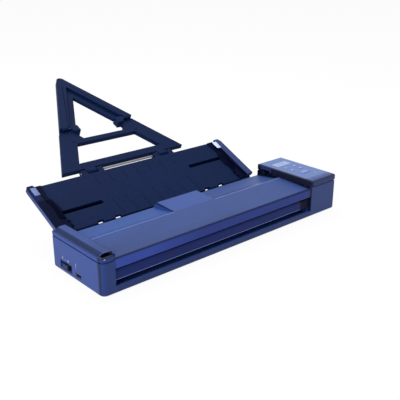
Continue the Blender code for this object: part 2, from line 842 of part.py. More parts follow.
def drive_gear(name, teeth, first_tooth, y, bore, look):
    outline = [(y + across, roller_z + up) for across, up in gear_outline(teeth, gear_module, first_tooth)]
    gear = slab(name, outline, (gear_x - gear_width / 2, gear_x + gear_width / 2), "YZ", look)
    cut(gear, rod(name + "_bore", (gear_x, y, roller_z), bore + gap, gear_width + 2 * overrun, helper=True))
    return pivot(gear, (gear_x, y, roller_z))


def gear_train():
    idler_pitch = 360 / idler_teeth
    roller_pitch = 360 / roller_teeth
    drive_gear("motor_pinion", pinion_teeth, 0, drive_y, motor_shaft_radius, nylon)
    drive_gear("rear_idler_gear", idler_teeth, 180 + idler_pitch / 2, drive_y + idler_reach,
               stud_radius, nylon)
    drive_gear("front_idler_gear", idler_teeth, idler_pitch / 2, drive_y - idler_reach, stud_radius, nylon)
    drive_gear("feed_gear", roller_teeth, 180 + roller_pitch / 2, feed_y, roller_shaft_radius, nylon)
    drive_gear("exit_gear", roller_teeth, roller_pitch / 2, exit_y, roller_shaft_radius, nylon)
    motor_low = motor_x - motor_length / 2
    box("drive_motor", (motor_low, motor_low + motor_length),
        (drive_y - motor_side / 2, drive_y + motor_side / 2),
        (roller_z - motor_side / 2, roller_z + motor_side / 2), steel)
    cut(bpy.data.objects["drive_motor"],
        rod("motor_bore", (motor_low, drive_y, roller_z), motor_shaft_radius + gap, motor_length,
            helper=True))
    shaft_low = gear_x - gear_width / 2
    shaft_high = motor_low + motor_length / 4
    shaft = rod("motor_shaft", ((shaft_low + shaft_high) / 2, drive_y, roller_z), motor_shaft_radius,
                shaft_high - shaft_low, look=steel, sides=16)
    pivot(shaft, (gear_x, drive_y, roller_z))


def driven_rollers():
    shaft_low = slot_left - shell_wall
    shaft_high = gear_x + gear_width / 2
    for name, y, spread in (("exit", exit_y, exit_roller_spread), ("feed", feed_y, feed_roller_spread)):
        shaft = rod(f"{name}_shaft", ((shaft_low + shaft_high) / 2, y, roller_z), roller_shaft_radius,
                    shaft_high - shaft_low, look=steel, sides=16)
        pivot(shaft, (slot_middle, y, roller_z))
        for side, word in ((-1, "left"), (1, "right")):
            x = slot_middle + side * spread
            tyre = rod(f"{name}_roller_{word}", (x, y, roller_z), roller_radius, roller_width, look=rubber)
            cut(tyre, rod(f"{name}_tyre_bore_{word}", (x, y, roller_z), roller_shaft_radius + gap,
                          roller_width + 2 * overrun, helper=True, sides=16))
            pivot(tyre, (x, y, roller_z))


def cover_outline(inset, low):
    """The cover's section from front to rear, drawn in by inset, closed at height low."""
    front = front_y + gap / 3 + inset
    rear = rear_y - cover_rear_inset
    top = [
        (front, cover_front_height - inset),
        (front_y + cover_ridge_inset, cover_ridge_height - inset),
        (front_y + cover_break_inset, cover_break_height - inset),
    ]
    if inset:
        cavity = front_y + cover_cavity_inset
        slope = (cover_break_height - cover_rear_height) / (rear - front_y - cover_break_inset)
        cavity_top = cover_break_height - slope * (cover_cavity_inset - cover_break_inset) - inset
        return [(front, low), *top, (cavity, cavity_top), (cavity, low)]
    rise = front_y + cover_wall_rise_inset
    lip = cover_rear_height - cover_lip_thickness
    return [(front, low), *top, (rear, cover_rear_height), (rear, lip), (front_y + cover_cavity_inset, lip),
            (rise, low)]


def top_cover():
    cover = slab("top_cover", cover_outline(0, cover_bottom), (cover_left, cover_right), "YZ", case_plastic)
    round_edges(cover, corner_radius / 2, 2, 25)
    bump_front = front_y + cover_ridge_inset
    bump_rear = rear_y - bump_inset
    bump_x = (slot_middle - bump_width / 2, slot_middle + bump_width / 2)
    rise = bump_height - cover_ridge_height
    base = cover_rear_height - cover_lip_thickness / 2
    bump = slab("bump", [
        (bump_front - rise, cover_break_height),
        (bump_front - rise, cover_ridge_height - gap),
        (bump_rear, bump_height),
        (bump_rear + rise, bump_height - rise / 2),
        (rear_y - cover_rear_inset - rise, base + bump_rear_drop / 2),
        (rear_y - cover_rear_inset - rise, base),
    ], bump_x, "YZ", helper=True)
    join(cover, bump)
    inner_x = (cover_left + cover_skin, cover_right - cover_skin)
    cavity = slab("cover_cavity", cover_outline(cover_skin, cover_bottom - overrun), inner_x, "YZ",
                  helper=True)
    bump_cavity = slab("bump_cavity", [
        (bump_front, cover_bottom),
        (bump_front, cover_ridge_height - cover_skin),
        (bump_rear - cover_skin, bump_height - 2 * cover_skin),
        (bump_rear - cover_skin, cover_bottom),
    ], (bump_x[0] + cover_skin, bump_x[1] - cover_skin), "YZ", helper=True)
    cut(cover, cavity, bump_cavity)

    # Left wing, sloped down to the main panel on its inner side
    wing_left = left_x + rim_width + gap
    slope_x = wing_left + wing_slope_width
    crest = slot_left - gap
    blend = crest + wing_blend_width
    wing = slab("wing", [
        (wing_left, wing_bottom_height),
        (wing_left, wing_side_height),
        (slope_x - wing_edge, wing_top_height - wing_edge),
        (slope_x + wing_edge, wing_top_height),
        (crest - wing_edge, wing_top_height),
        (crest + wing_edge / 2, wing_top_height - wing_edge / 2),
        (blend, wing_blend_height),
        (blend, cover_break_height - cover_skin - wing_skin),
        (blend - wing_skin, cover_break_height - cover_skin - wing_skin),
        (blend - wing_skin, wing_blend_height - wing_skin / 2),
        (crest - wing_skin / 2, wing_top_height - wing_skin),
        (slope_x + wing_skin / 2, wing_top_height - wing_skin),
        (wing_left + wing_skin, wing_bottom_height),
    ], (front_y + recess_rear_inset + gap, rear_y - wing_rear_inset), "XZ", helper=True)
    slope_top = slab("wing_front_slope", [
        (front_y, wing_top_height - wing_front_drop - overrun),
        (front_y + recess_rear_inset, wing_top_height - wing_front_drop),
        (front_y + recess_rear_inset + wing_front_slope_length, wing_top_height),
        (front_y + recess_rear_inset + wing_front_slope_length, wing_top_height + overrun),
        (front_y, wing_top_height + overrun),
    ], (wing_left - overrun, blend + overrun), "YZ", helper=True)
    cut(wing, slope_top)
    hinge = (cover_hinge_y, cover_hinge_height)
    left_boss = rod("left_boss", ((boss_left + boss_right) / 2, *hinge), cover_boss_radius,
                    boss_right - boss_left, helper=True)
    left_arm = box("left_arm", (slope_x, boss_right), (hinge[0] - cover_boss_radius, hinge[0]),
                   (hinge[1], wing_top_height - wing_skin / 2), helper=True)
    right_boss = rod("right_boss", (arm_x + cover_arm_width / 2, *hinge), cover_boss_radius,
                     cover_arm_width, helper=True)
    right_arm = box("right_arm", (cover_right - 2 * cover_skin, arm_x + cover_arm_width),
                    (hinge[0] - cover_arm_reach, hinge[0] + cover_arm_behind),
                    (cover_arm_bottom, cover_arm_top), helper=True)
    right_riser = box("right_riser", (arm_x, arm_x + cover_arm_width),
                      (hinge[0] - cover_boss_radius, hinge[0] + cover_arm_behind),
                      (cover_arm_bottom, hinge[1]), helper=True)
    ears = []
    for side in (-1, 1):
        x = slot_middle + side * (feed_idler_width / 2 + nip_gap + ear_width / 2)
        ears.append(box(f"idler_ear_{side}", (x - ear_width / 2, x + ear_width / 2),
                        (feed_y - cover_boss_radius, feed_y + cover_boss_radius),
                        (cover_bottom + cover_plate_thickness + 2 * gap, bump_height - 3 * cover_skin / 2),
                        helper=True))
    join(cover, wing, left_boss, left_arm, right_boss, right_arm, right_riser, *ears)
    removals = [
        rod("exit_idler_bore", (slot_middle, exit_y, exit_idler_z), stud_radius + gap,
            body_width, helper=True, sides=16),
        rod("feed_idler_bore", (slot_middle, feed_y, feed_idler_z), stud_radius + gap,
            feed_idler_width + 4 * ear_width, helper=True, sides=16),
    ]
    for side in (-1, 1):
        removals.append(rod(f"cover_pin_bore_{side}", (cover_pin_x[side], *hinge), cover_pin_radius + gap,
                            cover_pin_length + 2 * gap, helper=True, sides=16))
    cut(cover, *removals)
    return pivot(cover, (0, *hinge))


def cover_pieces():
    hinge = (0, cover_hinge_y, cover_hinge_height)
    low = cover_bottom + gap / 3
    plate = box("cover_plate", (cover_left + cover_skin + gap, cover_right - cover_skin - gap),
                (front_y + cover_skin + 2 * gap, front_y + cover_cavity_inset - gap),
                (low, low + cover_plate_thickness), guide_plastic)
    border = sensor_glass_border + gap
    holes = [box("upper_window", (sensor_x[0] - border, sensor_x[1] + border),
                 (upper_sensor_y - sensor_depth / 2 - border, upper_sensor_y + sensor_depth / 2 + border),
                 (low - overrun, low + cover_bottom), helper=True)]
    for side in (-1, 1):
        x = slot_middle + side * exit_roller_spread
        holes.append(box(f"exit_idler_window_{side}", (x - idle_drum_width / 2 - running_gap,
                                                       x + idle_drum_width / 2 + running_gap),
                         (exit_y - idle_roller_radius - running_gap,
                          exit_y + idle_roller_radius + running_gap),
                         (low - overrun, low + cover_bottom), helper=True))
    reach = feed_idler_width / 2 + nip_gap + ear_width + running_gap
    holes.append(box("feed_idler_window", (slot_middle - reach, slot_middle + reach),
                     (feed_y - feed_idler_radius - running_gap, feed_y + feed_idler_radius + running_gap),
                     (low - overrun, low + cover_bottom), helper=True))
    cut(plate, *holes)
    pivot(plate, hinge)
    border = sensor_glass_border
    y = upper_sensor_y
    pivot(box("upper_sensor_glass", (sensor_x[0] - border, sensor_x[1] + border),
              (y - sensor_depth / 2 - border, y + sensor_depth / 2 + border),
              (low, low + sensor_glass_thickness), glass), hinge)
    body_low = low + sensor_glass_thickness + gap
    pivot(box("upper_sensor", sensor_x,
              (y - sensor_depth / 2, y + sensor_depth / 2), (body_low, body_low + upper_sensor_height),
              guide_plastic), hinge)
    idler = rod("exit_idler", (slot_middle, exit_y, exit_idler_z), stud_radius,
                cover_right - cover_left - 2 * gap, look=nylon, sides=16)
    drums = []
    for side in (-1, 1):
        drums.append(rod(f"exit_drum_{side}",
                         (slot_middle + side * exit_roller_spread, exit_y, exit_idler_z),
                         idle_roller_radius, idle_drum_width, helper=True))
    join(idler, *drums)
    pivot(idler, (slot_middle, exit_y, exit_idler_z))
    feed = rod("feed_idler", (slot_middle, feed_y, feed_idler_z), feed_idler_radius, feed_idler_width,
               look=rubber)
    join(feed, rod("feed_idler_axle", (slot_middle, feed_y, feed_idler_z), stud_radius,
                   feed_idler_width + 2 * (nip_gap + ear_width), helper=True, sides=16))
    pivot(feed, (slot_middle, feed_y, feed_idler_z))
    for side, word in ((-1, "left"), (1, "right")):
        pin = rod(f"cover_pin_{word}", (cover_pin_x[side], cover_hinge_y, cover_hinge_height),
                  cover_pin_radius, cover_pin_length, look=steel, sides=16)
        pivot(pin, (cover_pin_x[side], cover_hinge_y, cover_hinge_height))


def fasteners_and_feet():
    for index, (x, y) in enumerate(screw_places):
        word = "front" if y < 0 else "rear"
        screw = rod(f"pod_screw_{word}", (x, y, (screw_top - gap) / 2), screw_radius,
                    screw_top - gap, "Z", steel, sides=16)
        join(screw, rod(f"screw_head_{word}", (x, y, screw_head_height / 2), screw_head_radius,
                        screw_head_height, "Z", helper=True, sides=16))
    for index, (x, y) in enumerate(foot_places):
        word = ("left" if x < 0 else "right") + ("_front" if y < 0 else "_rear")
        top = foot_depth - foot_standing - gap
        rod(f"foot_{word}", (x, y, top - foot_depth / 2 + gap / 2), foot_radius, foot_depth - gap, "Z",
            rubber)


def tray_pivot(name, distance, drop):
    """An empty on a hinge of the support: distance up the slope, drop below its plane."""
    empty = bpy.data.objects.new(name, None)
    parts.objects.link(empty)
    empty.location = tray_origin + along * distance - normal * drop
    empty.rotation_euler = (tray_slope, 0, 0)
    empty["reach"] = (distance, drop)
    return empty


def ride(empty, *objects):
    """Hangs shapes drawn in the support's plane (X, distance up the slope, height) on an empty."""
    distance, drop = empty["reach"]
    for obj in objects:
        obj.data.transform(Matrix.Translation((0, -distance, drop)))
        obj.parent = empty
    return objects[0]


def side_lines(distance):
    """Half the width of the middle frame and loop at a distance up the slope."""
    slope = (loop_spread - loop_head_half) / (loop_head_start - seam_along)
    return loop_head_half + (loop_head_start - distance) * slope


def tray_panel(empty):
    low, high = -panel_top - panel_thickness, -panel_top
    panel = box("tray_panel", (feed_middle - panel_reach, feed_middle + panel_reach),
                (panel_start, panel_start + panel_length), (low, high), case_plastic)
    round_edges(panel, gap * 2, 1)
    joined, notches = [], []
    for side in (-1, 1):
        x = feed_middle + side * knuckle_spread
        half = knuckle_width / 2 - knuckle_gap
        joined.append(rod(f"knuckle_{side}", (x, panel_hinge_along, -panel_hinge_drop), knuckle_radius,
                          2 * half, helper=True))
        joined.append(box(f"knuckle_web_{side}", (x - half, x + half),
                          (panel_hinge_along, panel_hinge_along + 2 * knuckle_radius),
                          (-panel_hinge_drop, high - panel_thickness / 2), helper=True))
        for edge in (-1, 1):
            near = x + edge * (knuckle_width / 2 + knuckle_gap / 2)
            far = near + edge * (knuckle_width / 2 + 2 * knuckle_gap)
            notches.append(box(f"ear_notch_{side}_{edge}", (near, far),
                               (panel_start - overrun, panel_hinge_along + knuckle_radius + running_gap),
                               (low - overrun, high + overrun), helper=True))
        x = feed_middle + side * frame_knuckle_spread
        for edge in (-1, 1):
            near = x + edge * (knuckle_width / 2 + knuckle_gap)
            far = near + edge * knuckle_width / 2
            joined.append(rod(f"frame_ear_{side}_{edge}",
                              ((near + far) / 2, frame_hinge_along, -frame_hinge_drop),
                              frame_knuckle_radius, abs(far - near), helper=True))
            joined.append(box(f"frame_ear_web_{side}_{edge}", (near, far),
                              (panel_start + panel_length - panel_thickness, frame_hinge_along),
                              (-frame_hinge_drop - frame_knuckle_radius / 2, high - gap), helper=True))
    stud_low = low - rack_height - 2 * gap
    joined.append(rod("pinion_stud", (feed_middle, rack_middle, (stud_low + high) / 2), stud_radius,
                      high - stud_low - gap, "Z", helper=True))
    removals = [
        rod("knuckle_bore", (feed_middle, panel_hinge_along, -panel_hinge_drop), tray_pin_radius + gap,
            2 * (knuckle_spread + knuckle_width), helper=True, sides=16),
        rod("frame_bore", (feed_middle, frame_hinge_along, -frame_hinge_drop), tray_pin_radius + gap,
            2 * (frame_knuckle_spread + 2 * knuckle_width), helper=True, sides=16),
    ]
    for side in (-1, 1):
        outer = feed_middle + side * foot_reach
        inner = outer - side * side_guide_travel
        y = rack_middle + side * foot_line
        removals.append(box(f"guide_slot_{side}", (outer + side * (guide_foot_length / 2 + running_gap),
                                                   inner - side * (guide_foot_length / 2 + running_gap)),
                            (y - guide_foot_width / 2 - gap, y + guide_foot_width / 2 + gap),
                            (low - overrun, high + overrun), helper=True))
    ride(empty, panel, *joined, *notches, *removals)
    cut(panel, *notches)
    join(panel, *joined)
    cut(panel, *removals)
    return panel


def side_guide(empty, side, word):
    """A paper guide that slides on the panel, with its foot through the slot and a rack below."""
    floor = -panel_top + gap
    inner = feed_middle + side * side_guide_inner

    def drawn(shares):
        return [(inner + side * across * side_guide_width, side_guide_start + up * side_guide_length)
                for across, up in shares]

    guide = slab(f"{word}_side_guide", drawn(guide_outline_shares), (floor, floor + side_guide_flange),
                 "XY",
                 guide_plastic)
    rail = slab(f"{word}_rail", drawn(rail_outline_shares), (floor + gap, side_guide_top), "XY",
                helper=True)
    foot_x = feed_middle + side * foot_reach
    foot_y = rack_middle + side * foot_line
    low = -panel_top - panel_thickness
    foot = box(f"{word}_foot", (foot_x - guide_foot_length / 2, foot_x + guide_foot_length / 2),
               (foot_y - guide_foot_width / 2, foot_y + guide_foot_width / 2), (low - gap / 3, floor + gap),
               helper=True)
    ride(empty, guide, rail, foot)
    join(guide, rail, foot)

    pitch = math.pi * rack_module
    teeth = math.ceil((side_guide_travel + 2 * rack_pinion_radius) / pitch)
    line = rack_middle + side * rack_pinion_radius
    top_high = low - gap - gap / 3
    root = line + side * dedendum_share * rack_module
    back = root + side * rack_back
    # Teeth stand half a pitch either side of the pinion's middle, so that a gap faces its tooth.
    inner_end = feed_middle - side * (rack_pinion_radius + pitch / 2)
    outer_end = foot_x + side * guide_foot_length / 2
    levels = ((root, root_share), (line, pitch_share),
              (line - side * addendum_share * rack_module, tip_share))
    outline = [(outer_end, back), (inner_end - side * pitch, back), (inner_end - side * pitch, root)]
    first = math.ceil((rack_pinion_radius + pitch / 2) / pitch)
    for tooth in range(teeth):
        middle = feed_middle + side * pitch * (tooth + 0.5 - first)
        for height, share in levels:
            outline.append((middle - side * pitch * share / 2, height))
        for height, share in reversed(levels):
            outline.append((middle + side * pitch * share / 2, height))
    outline.append((outer_end, root))
    rack = slab(f"{word}_guide_rack", outline, (top_high - rack_height, top_high), "XY", nylon)
    ride(empty, rack)
    return guide


def rack_cover(empty):
    """A shallow channel under the racks and their pinion, closed below."""
    half = foot_reach + guide_foot_length / 2 + running_gap
    reach = rack_pinion_radius + dedendum_share * rack_module + rack_back + running_gap
    wall_top = -panel_top - panel_thickness - gap
    inside = wall_top - rack_height - 2 * gap - rack_cover_clearance
    cover = box("rack_cover", (feed_middle - half - rack_cover_skin, feed_middle + half + rack_cover_skin),
                (rack_middle - reach - rack_cover_skin, rack_middle + reach + rack_cover_skin),
                (inside - rack_cover_skin, wall_top), guide_plastic)
    round_edges(cover, rack_cover_skin / 2, 1)
    hollow = box("rack_cover_hollow", (feed_middle - half, feed_middle + half),
                 (rack_middle - reach, rack_middle + reach), (inside, wall_top + overrun), helper=True)
    ride(empty, cover, hollow)
    return cut(cover, hollow)


def rack_pinion(tray_empty):
    low = -panel_top - panel_thickness - gap - gap / 3
    outline = [(feed_middle + across, rack_middle + up)
               for across, up in gear_outline(rack_pinion_teeth, rack_module, 90)]
    pinion = slab("guide_pinion", outline, (low - rack_height, low), "XY", nylon)
    bore = rod("pinion_bore", (feed_middle, rack_middle, low - rack_height / 2), stud_radius + gap,
               rack_height + 2 * overrun, "Z", helper=True)
    distance, drop = tray_empty["reach"]
    for obj in (pinion, bore):
        obj.data.transform(Matrix.Translation((-feed_middle, -rack_middle, drop)))
        obj.parent = tray_empty
        obj.location = (feed_middle, rack_middle - distance, 0)
    return cut(pinion, bore)


def middle_frame(empty):
    low, high = -frame_top - frame_thickness, -frame_top
    start, end = frame_start, seam_along - gap

    def sides(points):
        right = [(feed_middle + across, up) for across, up in points]
        left = [(feed_middle - across, up) for across, up in reversed(points)]
        return right + left

    leg = loop_leg_width + loop_flange_width
    frame = slab("middle_frame", sides([(side_lines(start), start), (side_lines(end), end)]),
                 (low, high), "XY", case_plastic)
    window = slab("frame_window", sides([(side_lines(start + frame_bar) - leg, start + frame_bar),
                                         (side_lines(frame_crossbar) - leg, frame_crossbar)]),
                  (low - overrun, high + overrun), "XY", helper=True)
    throat_low = frame_crossbar_end
    throat = slab("frame_throat", sides([
        (side_lines(throat_low) - leg - bracket_flare, throat_low),
        (side_lines(throat_low + bracket_flare) - leg, throat_low + bracket_flare),
        (side_lines(end) - leg, end + overrun)]), (low - overrun, high + overrun), "XY", helper=True)
    joined = []
    for side in (-1, 1):
        x = feed_middle + side * frame_knuckle_spread
        half = knuckle_width / 2 - knuckle_gap
        joined.append(rod(f"frame_knuckle_{side}", (x, frame_hinge_along, -frame_hinge_drop),
                          frame_knuckle_radius, 2 * half, helper=True))
        joined.append(box(f"frame_knuckle_web_{side}", (x - half, x + half),
                          (frame_hinge_along, frame_start + frame_bar / 2), (low, high), helper=True))
        wide = side_lines(seam_along) - loop_leg_width - running_gap
        narrow = side_lines(seam_along + cheek_back) - loop_leg_width - running_gap
        cheek = [(wide - cheek_width, seam_along - cheek_back), (narrow, seam_along - cheek_back),
                 (wide, seam_along), (wide, seam_along + cheek_reach),
                 (wide - cheek_width, seam_along + cheek_reach)]
        joined.append(slab(f"cheek_{side}", [(feed_middle + side * across, up) for across, up in cheek],
                           (low + gap, -cheek_drop), "XY", helper=True))
    removals = [rod("frame_knuckle_bore", (feed_middle, frame_hinge_along, -frame_hinge_drop),
                    tray_pin_radius + gap, 2 * (frame_knuckle_spread + knuckle_width), helper=True,
                    sides=16),
                rod("cheek_bore", (feed_middle, seam_along, -loop_hinge_drop), loop_pin_radius + gap,
                    2 * loop_spread, helper=True, sides=16)]
    ride(empty, frame, window, throat, *joined, *removals)
    cut(frame, window, throat)
    join(frame, *joined)
    cut(frame, *removals)
    return frame


def support_loop(empty):
    start = seam_along + gap
    lean = math.atan((loop_spread - loop_head_half) / (loop_head_start - seam_along))
    apex_along = loop_head_start + loop_head_half / math.tan(lean)
    head = apex_along - loop_head_radius / math.sin(lean)
    flange_top = -loop_flange_drop
    leg = loop_leg_width + loop_flange_width

    def outer(low_end):
        crown = arc((0, head), loop_head_radius, math.degrees(lean), 180 - math.degrees(lean), 10)
        ends = [(-side_lines(low_end), low_end), (side_lines(low_end), low_end)]
        return [(feed_middle + x, y) for x, y in crown + ends]

    def apex(width):
        return loop_head_start - (width - loop_head_half) / math.tan(lean)

    def inner(width, low_end):
        edge = side_lines(low_end) - width
        return [(feed_middle + edge, low_end), (feed_middle, apex(width)), (feed_middle - edge, low_end)]

    loop = slab("support_loop", outer(start), (-loop_thickness, 0), "XY", case_plastic)
    inside = slab("loop_window", inner(leg, start - overrun), (-loop_thickness - overrun, overrun),
                  "XY", helper=True)
    step = slab("loop_step", inner(loop_leg_width, start - overrun), (flange_top, overrun), "XY",
                helper=True)
    relief_low = seam_along - overrun
    relief_high = seam_along + cheek_reach + 2 * running_gap
    inner_edge = side_lines(seam_along) - loop_leg_width
    relief = box("cheek_relief", (feed_middle - inner_edge - gap, feed_middle + inner_edge + gap),
                 (relief_low, relief_high), (-loop_thickness - overrun, overrun), helper=True)
    bore = rod("loop_pin_bore", (feed_middle, seam_along, -loop_hinge_drop), loop_pin_radius + gap,
               2 * (inner_edge + loop_pin_length / 2), helper=True, sides=16)
    knuckles = []
    for side in (-1, 1):
        x = feed_middle + side * (inner_edge + 2 * gap + loop_pin_length / 2)
        knuckles.append(rod(f"loop_knuckle_{side}", (x, seam_along, -loop_hinge_drop), loop_knuckle_radius,
                            loop_pin_length, helper=True))
    ride(empty, loop, inside, step, relief, bore, *knuckles)
    cut(loop, inside, step, relief)
    round_edges(loop, corner_radius / 2, 2)
    join(loop, *knuckles)
    cut(loop, bore)
    return loop


def tray_pins(tray_empty, frame_empty, loop_empty):
    half = knuckle_spread + knuckle_width
    ride(tray_empty, rod("tray_hinge_rod", (feed_middle, panel_hinge_along, -panel_hinge_drop),
                         tray_pin_radius,
                         2 * half, look=steel, sides=16))
    half = frame_knuckle_spread + knuckle_width
    ride(frame_empty, rod("frame_hinge_rod", (feed_middle, frame_hinge_along, -frame_hinge_drop),
                          tray_pin_radius, 2 * half, look=steel, sides=16))
    inner_edge = side_lines(seam_along) - loop_leg_width
    for side, word in ((-1, "left"), (1, "right")):
        ride(loop_empty, rod(f"loop_pin_{word}",
                             (feed_middle + side * inner_edge, seam_along, -loop_hinge_drop),
                             loop_pin_radius, loop_pin_length - 2 * gap, look=steel, sides=16))


def paper_support():
    tray_empty = tray_pivot("tray_hinge", panel_hinge_along, panel_hinge_drop)
    frame_empty = tray_pivot("frame_hinge", frame_hinge_along, frame_hinge_drop)
    loop_empty = tray_pivot("loop_hinge", seam_along, loop_hinge_drop)
    bpy.context.view_layer.update()
    tray_panel(tray_empty)
    side_guide(tray_empty, -1, "left")
    side_guide(tray_empty, 1, "right")
    rack_cover(tray_empty)
    rack_pinion(tray_empty)
    middle_frame(frame_empty)
    support_loop(loop_empty)
    tray_pins(tray_empty, frame_empty, loop_empty)


base_housing()
left_rim_cap()
cover_latch()
control_pod()
pod_pieces()
left_face_pieces()
paper_guide()
sensors_and_boards()
driven_rollers()
gear_train()
top_cover()
cover_pieces()
fasteners_and_feet()
paper_support()
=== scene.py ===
# %% [markdown]
# # A portable document scanner, dressed for the camera
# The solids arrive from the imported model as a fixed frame: every node already sits where it belongs, in
# metres. This lesson gives those solids their finishes, adds the small moulded and printed details that
# CAD leaves out, and sets up a plain studio around them.

# %% Load the frame
import math
import json

import bmesh
import bpy
from mathutils import Matrix, Vector


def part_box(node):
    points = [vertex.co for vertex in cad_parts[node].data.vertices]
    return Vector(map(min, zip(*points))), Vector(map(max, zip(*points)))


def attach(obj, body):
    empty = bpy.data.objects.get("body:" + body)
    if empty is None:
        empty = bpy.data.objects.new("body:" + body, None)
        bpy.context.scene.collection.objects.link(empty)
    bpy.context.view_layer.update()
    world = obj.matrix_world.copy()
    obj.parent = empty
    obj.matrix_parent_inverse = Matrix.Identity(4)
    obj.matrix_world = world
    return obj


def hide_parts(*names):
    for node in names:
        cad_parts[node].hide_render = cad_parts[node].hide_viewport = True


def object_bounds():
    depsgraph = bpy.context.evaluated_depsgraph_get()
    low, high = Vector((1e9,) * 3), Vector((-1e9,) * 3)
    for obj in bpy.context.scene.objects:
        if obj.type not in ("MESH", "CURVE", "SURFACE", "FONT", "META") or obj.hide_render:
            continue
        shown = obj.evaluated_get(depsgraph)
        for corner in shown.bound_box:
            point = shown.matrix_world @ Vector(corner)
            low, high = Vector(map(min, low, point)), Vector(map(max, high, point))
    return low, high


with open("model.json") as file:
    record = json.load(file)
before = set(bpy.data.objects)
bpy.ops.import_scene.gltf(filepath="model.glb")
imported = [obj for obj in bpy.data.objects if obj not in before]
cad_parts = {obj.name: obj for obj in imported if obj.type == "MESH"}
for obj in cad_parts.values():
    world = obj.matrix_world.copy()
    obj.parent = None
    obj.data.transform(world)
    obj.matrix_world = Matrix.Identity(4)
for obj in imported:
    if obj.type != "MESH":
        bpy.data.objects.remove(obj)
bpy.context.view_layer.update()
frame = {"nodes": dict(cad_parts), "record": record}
nodes = frame["nodes"]

# %% [markdown]
# ## Grain
# Injection-moulded plastic takes its fine matt texture from a spark-eroded steel mould. An image texture
# could carry it, but it would need UVs on every part. Two octaves of noise in object coordinates need none,
# and because each part's coordinates are metres, the grain has the same real size everywhere.

# %% Helpers for node groups


def start_group(name, inputs, outputs):
    """A new shader group with the named sockets, and its two end nodes."""
    group = bpy.data.node_groups.new(name, "ShaderNodeTree")
    for label, kind, value in inputs:
        socket = group.interface.new_socket(label, in_out="INPUT", socket_type=kind)
        socket.default_value = value
    for label, kind in outputs:
        group.interface.new_socket(label, in_out="OUTPUT", socket_type=kind)
    return group, group.nodes.new("NodeGroupInput"), group.nodes.new("NodeGroupOutput")


def place(tree, kind, **settings):
    """A node of this kind, with its properties set by name."""
    node = tree.nodes.new(kind)
    for label, value in settings.items():
        setattr(node, label, value)
    return node


def feed(tree, node, values):
    """Gives a node's inputs their values in order: a socket is linked, anything else is set."""
    for index, value in enumerate(values):
        if isinstance(value, bpy.types.NodeSocket):
            tree.links.new(value, node.inputs[index])
        else:
            node.inputs[index].default_value = value


def calculate(tree, operation, *values, clamp=False):
    """A Math node of sockets or numbers. It returns the result's socket."""
    node = place(tree, "ShaderNodeMath", operation=operation, use_clamp=clamp)
    feed(tree, node, values)
    return node.outputs["Value"]


def calculate_vector(tree, operation, *values):
    """The same for vectors. Only a dot product gives a number."""
    node = place(tree, "ShaderNodeVectorMath", operation=operation)
    feed(tree, node, values)
    return node.outputs["Value" if operation == "DOT_PRODUCT" else "Vector"]


def noise_at(tree, size, detail, roughness=0.55):
    """Noise in object coordinates, with features about one size across."""
    where = place(tree, "ShaderNodeTexCoord")
    noise = place(tree, "ShaderNodeTexNoise")
    noise.inputs["Detail"].default_value = detail
    noise.inputs["Roughness"].default_value = roughness
    tree.links.new(where.outputs["Object"], noise.inputs["Vector"])
    if isinstance(size, bpy.types.NodeSocket):
        tree.links.new(calculate(tree, "DIVIDE", 1.0, size), noise.inputs["Scale"])
    else:
        noise.inputs["Scale"].default_value = 1 / size
    return noise.outputs["Fac"]


print("helpers for shader groups are ready")

# %% The grain group
grain_octaves = 2.0
drift_octaves = 3.0
grain, grain_in, grain_out = start_group(
    "moulded_grain",
    [("Size", "NodeSocketFloat", 0.0004), ("Drift Size", "NodeSocketFloat", 0.05)],
    [("Height", "NodeSocketFloat"), ("Drift", "NodeSocketFloat")],
)
fine = noise_at(grain, grain_in.outputs["Size"], grain_octaves)
wide = noise_at(grain, grain_in.outputs["Drift Size"], drift_octaves)
grain.links.new(fine, grain_out.inputs["Height"])
grain.links.new(wide, grain_out.inputs["Drift"])
print("made group", grain.name)

# %% [markdown]
# ## Rubbed and highlit edges
# Handling polishes the corners of a dark case first. They are painted with a thin pale line, which is partly
# that rubbing and partly a painted highlight where a rounded edge would catch the light. The Bevel node gives
# the normal that a rounded corner would have. Where it differs from the flat face's normal there is an edge,
# and that difference makes the mask. The same normal also softens every sharp CAD corner.

# %% The edge group
edge_radius = 0.0004
edge_gain = 6.0
patch_size = 0.004
patch_floor = 0.2
edges, edges_in, edges_out = start_group(
    "worn_and_highlit_edges",
    [("Spread", "NodeSocketFloat", 0.6)],
    [("Edge", "NodeSocketFloat"), ("Rounded", "NodeSocketVector")],
)
bevelled = place(edges, "ShaderNodeBevel", samples=6)
bevelled.inputs["Radius"].default_value = edge_radius
flat = place(edges, "ShaderNodeNewGeometry")
agree = calculate_vector(edges, "DOT_PRODUCT", bevelled.outputs["Normal"], flat.outputs["Normal"])
turn = calculate(edges, "SUBTRACT", 1.0, agree, clamp=True)
bend = calculate(edges, "MULTIPLY", turn, edge_gain, clamp=True)
patches = calculate(edges, "ADD", noise_at(edges, patch_size, grain_octaves), patch_floor)
rubbed_and_highlit = calculate(edges, "MULTIPLY", bend, patches)
spread = calculate(edges, "MULTIPLY", rubbed_and_highlit, edges_in.outputs["Spread"], clamp=True)
edges.links.new(spread, edges_out.inputs["Edge"])
edges.links.new(bevelled.outputs["Normal"], edges_out.inputs["Rounded"])
print("made group", edges.name)

# %% [markdown]
# ## Dust
# A little pale dust settles on faces that look up. Each part's own normal says which those are, so the dust
# stays on the same face when a part turns.

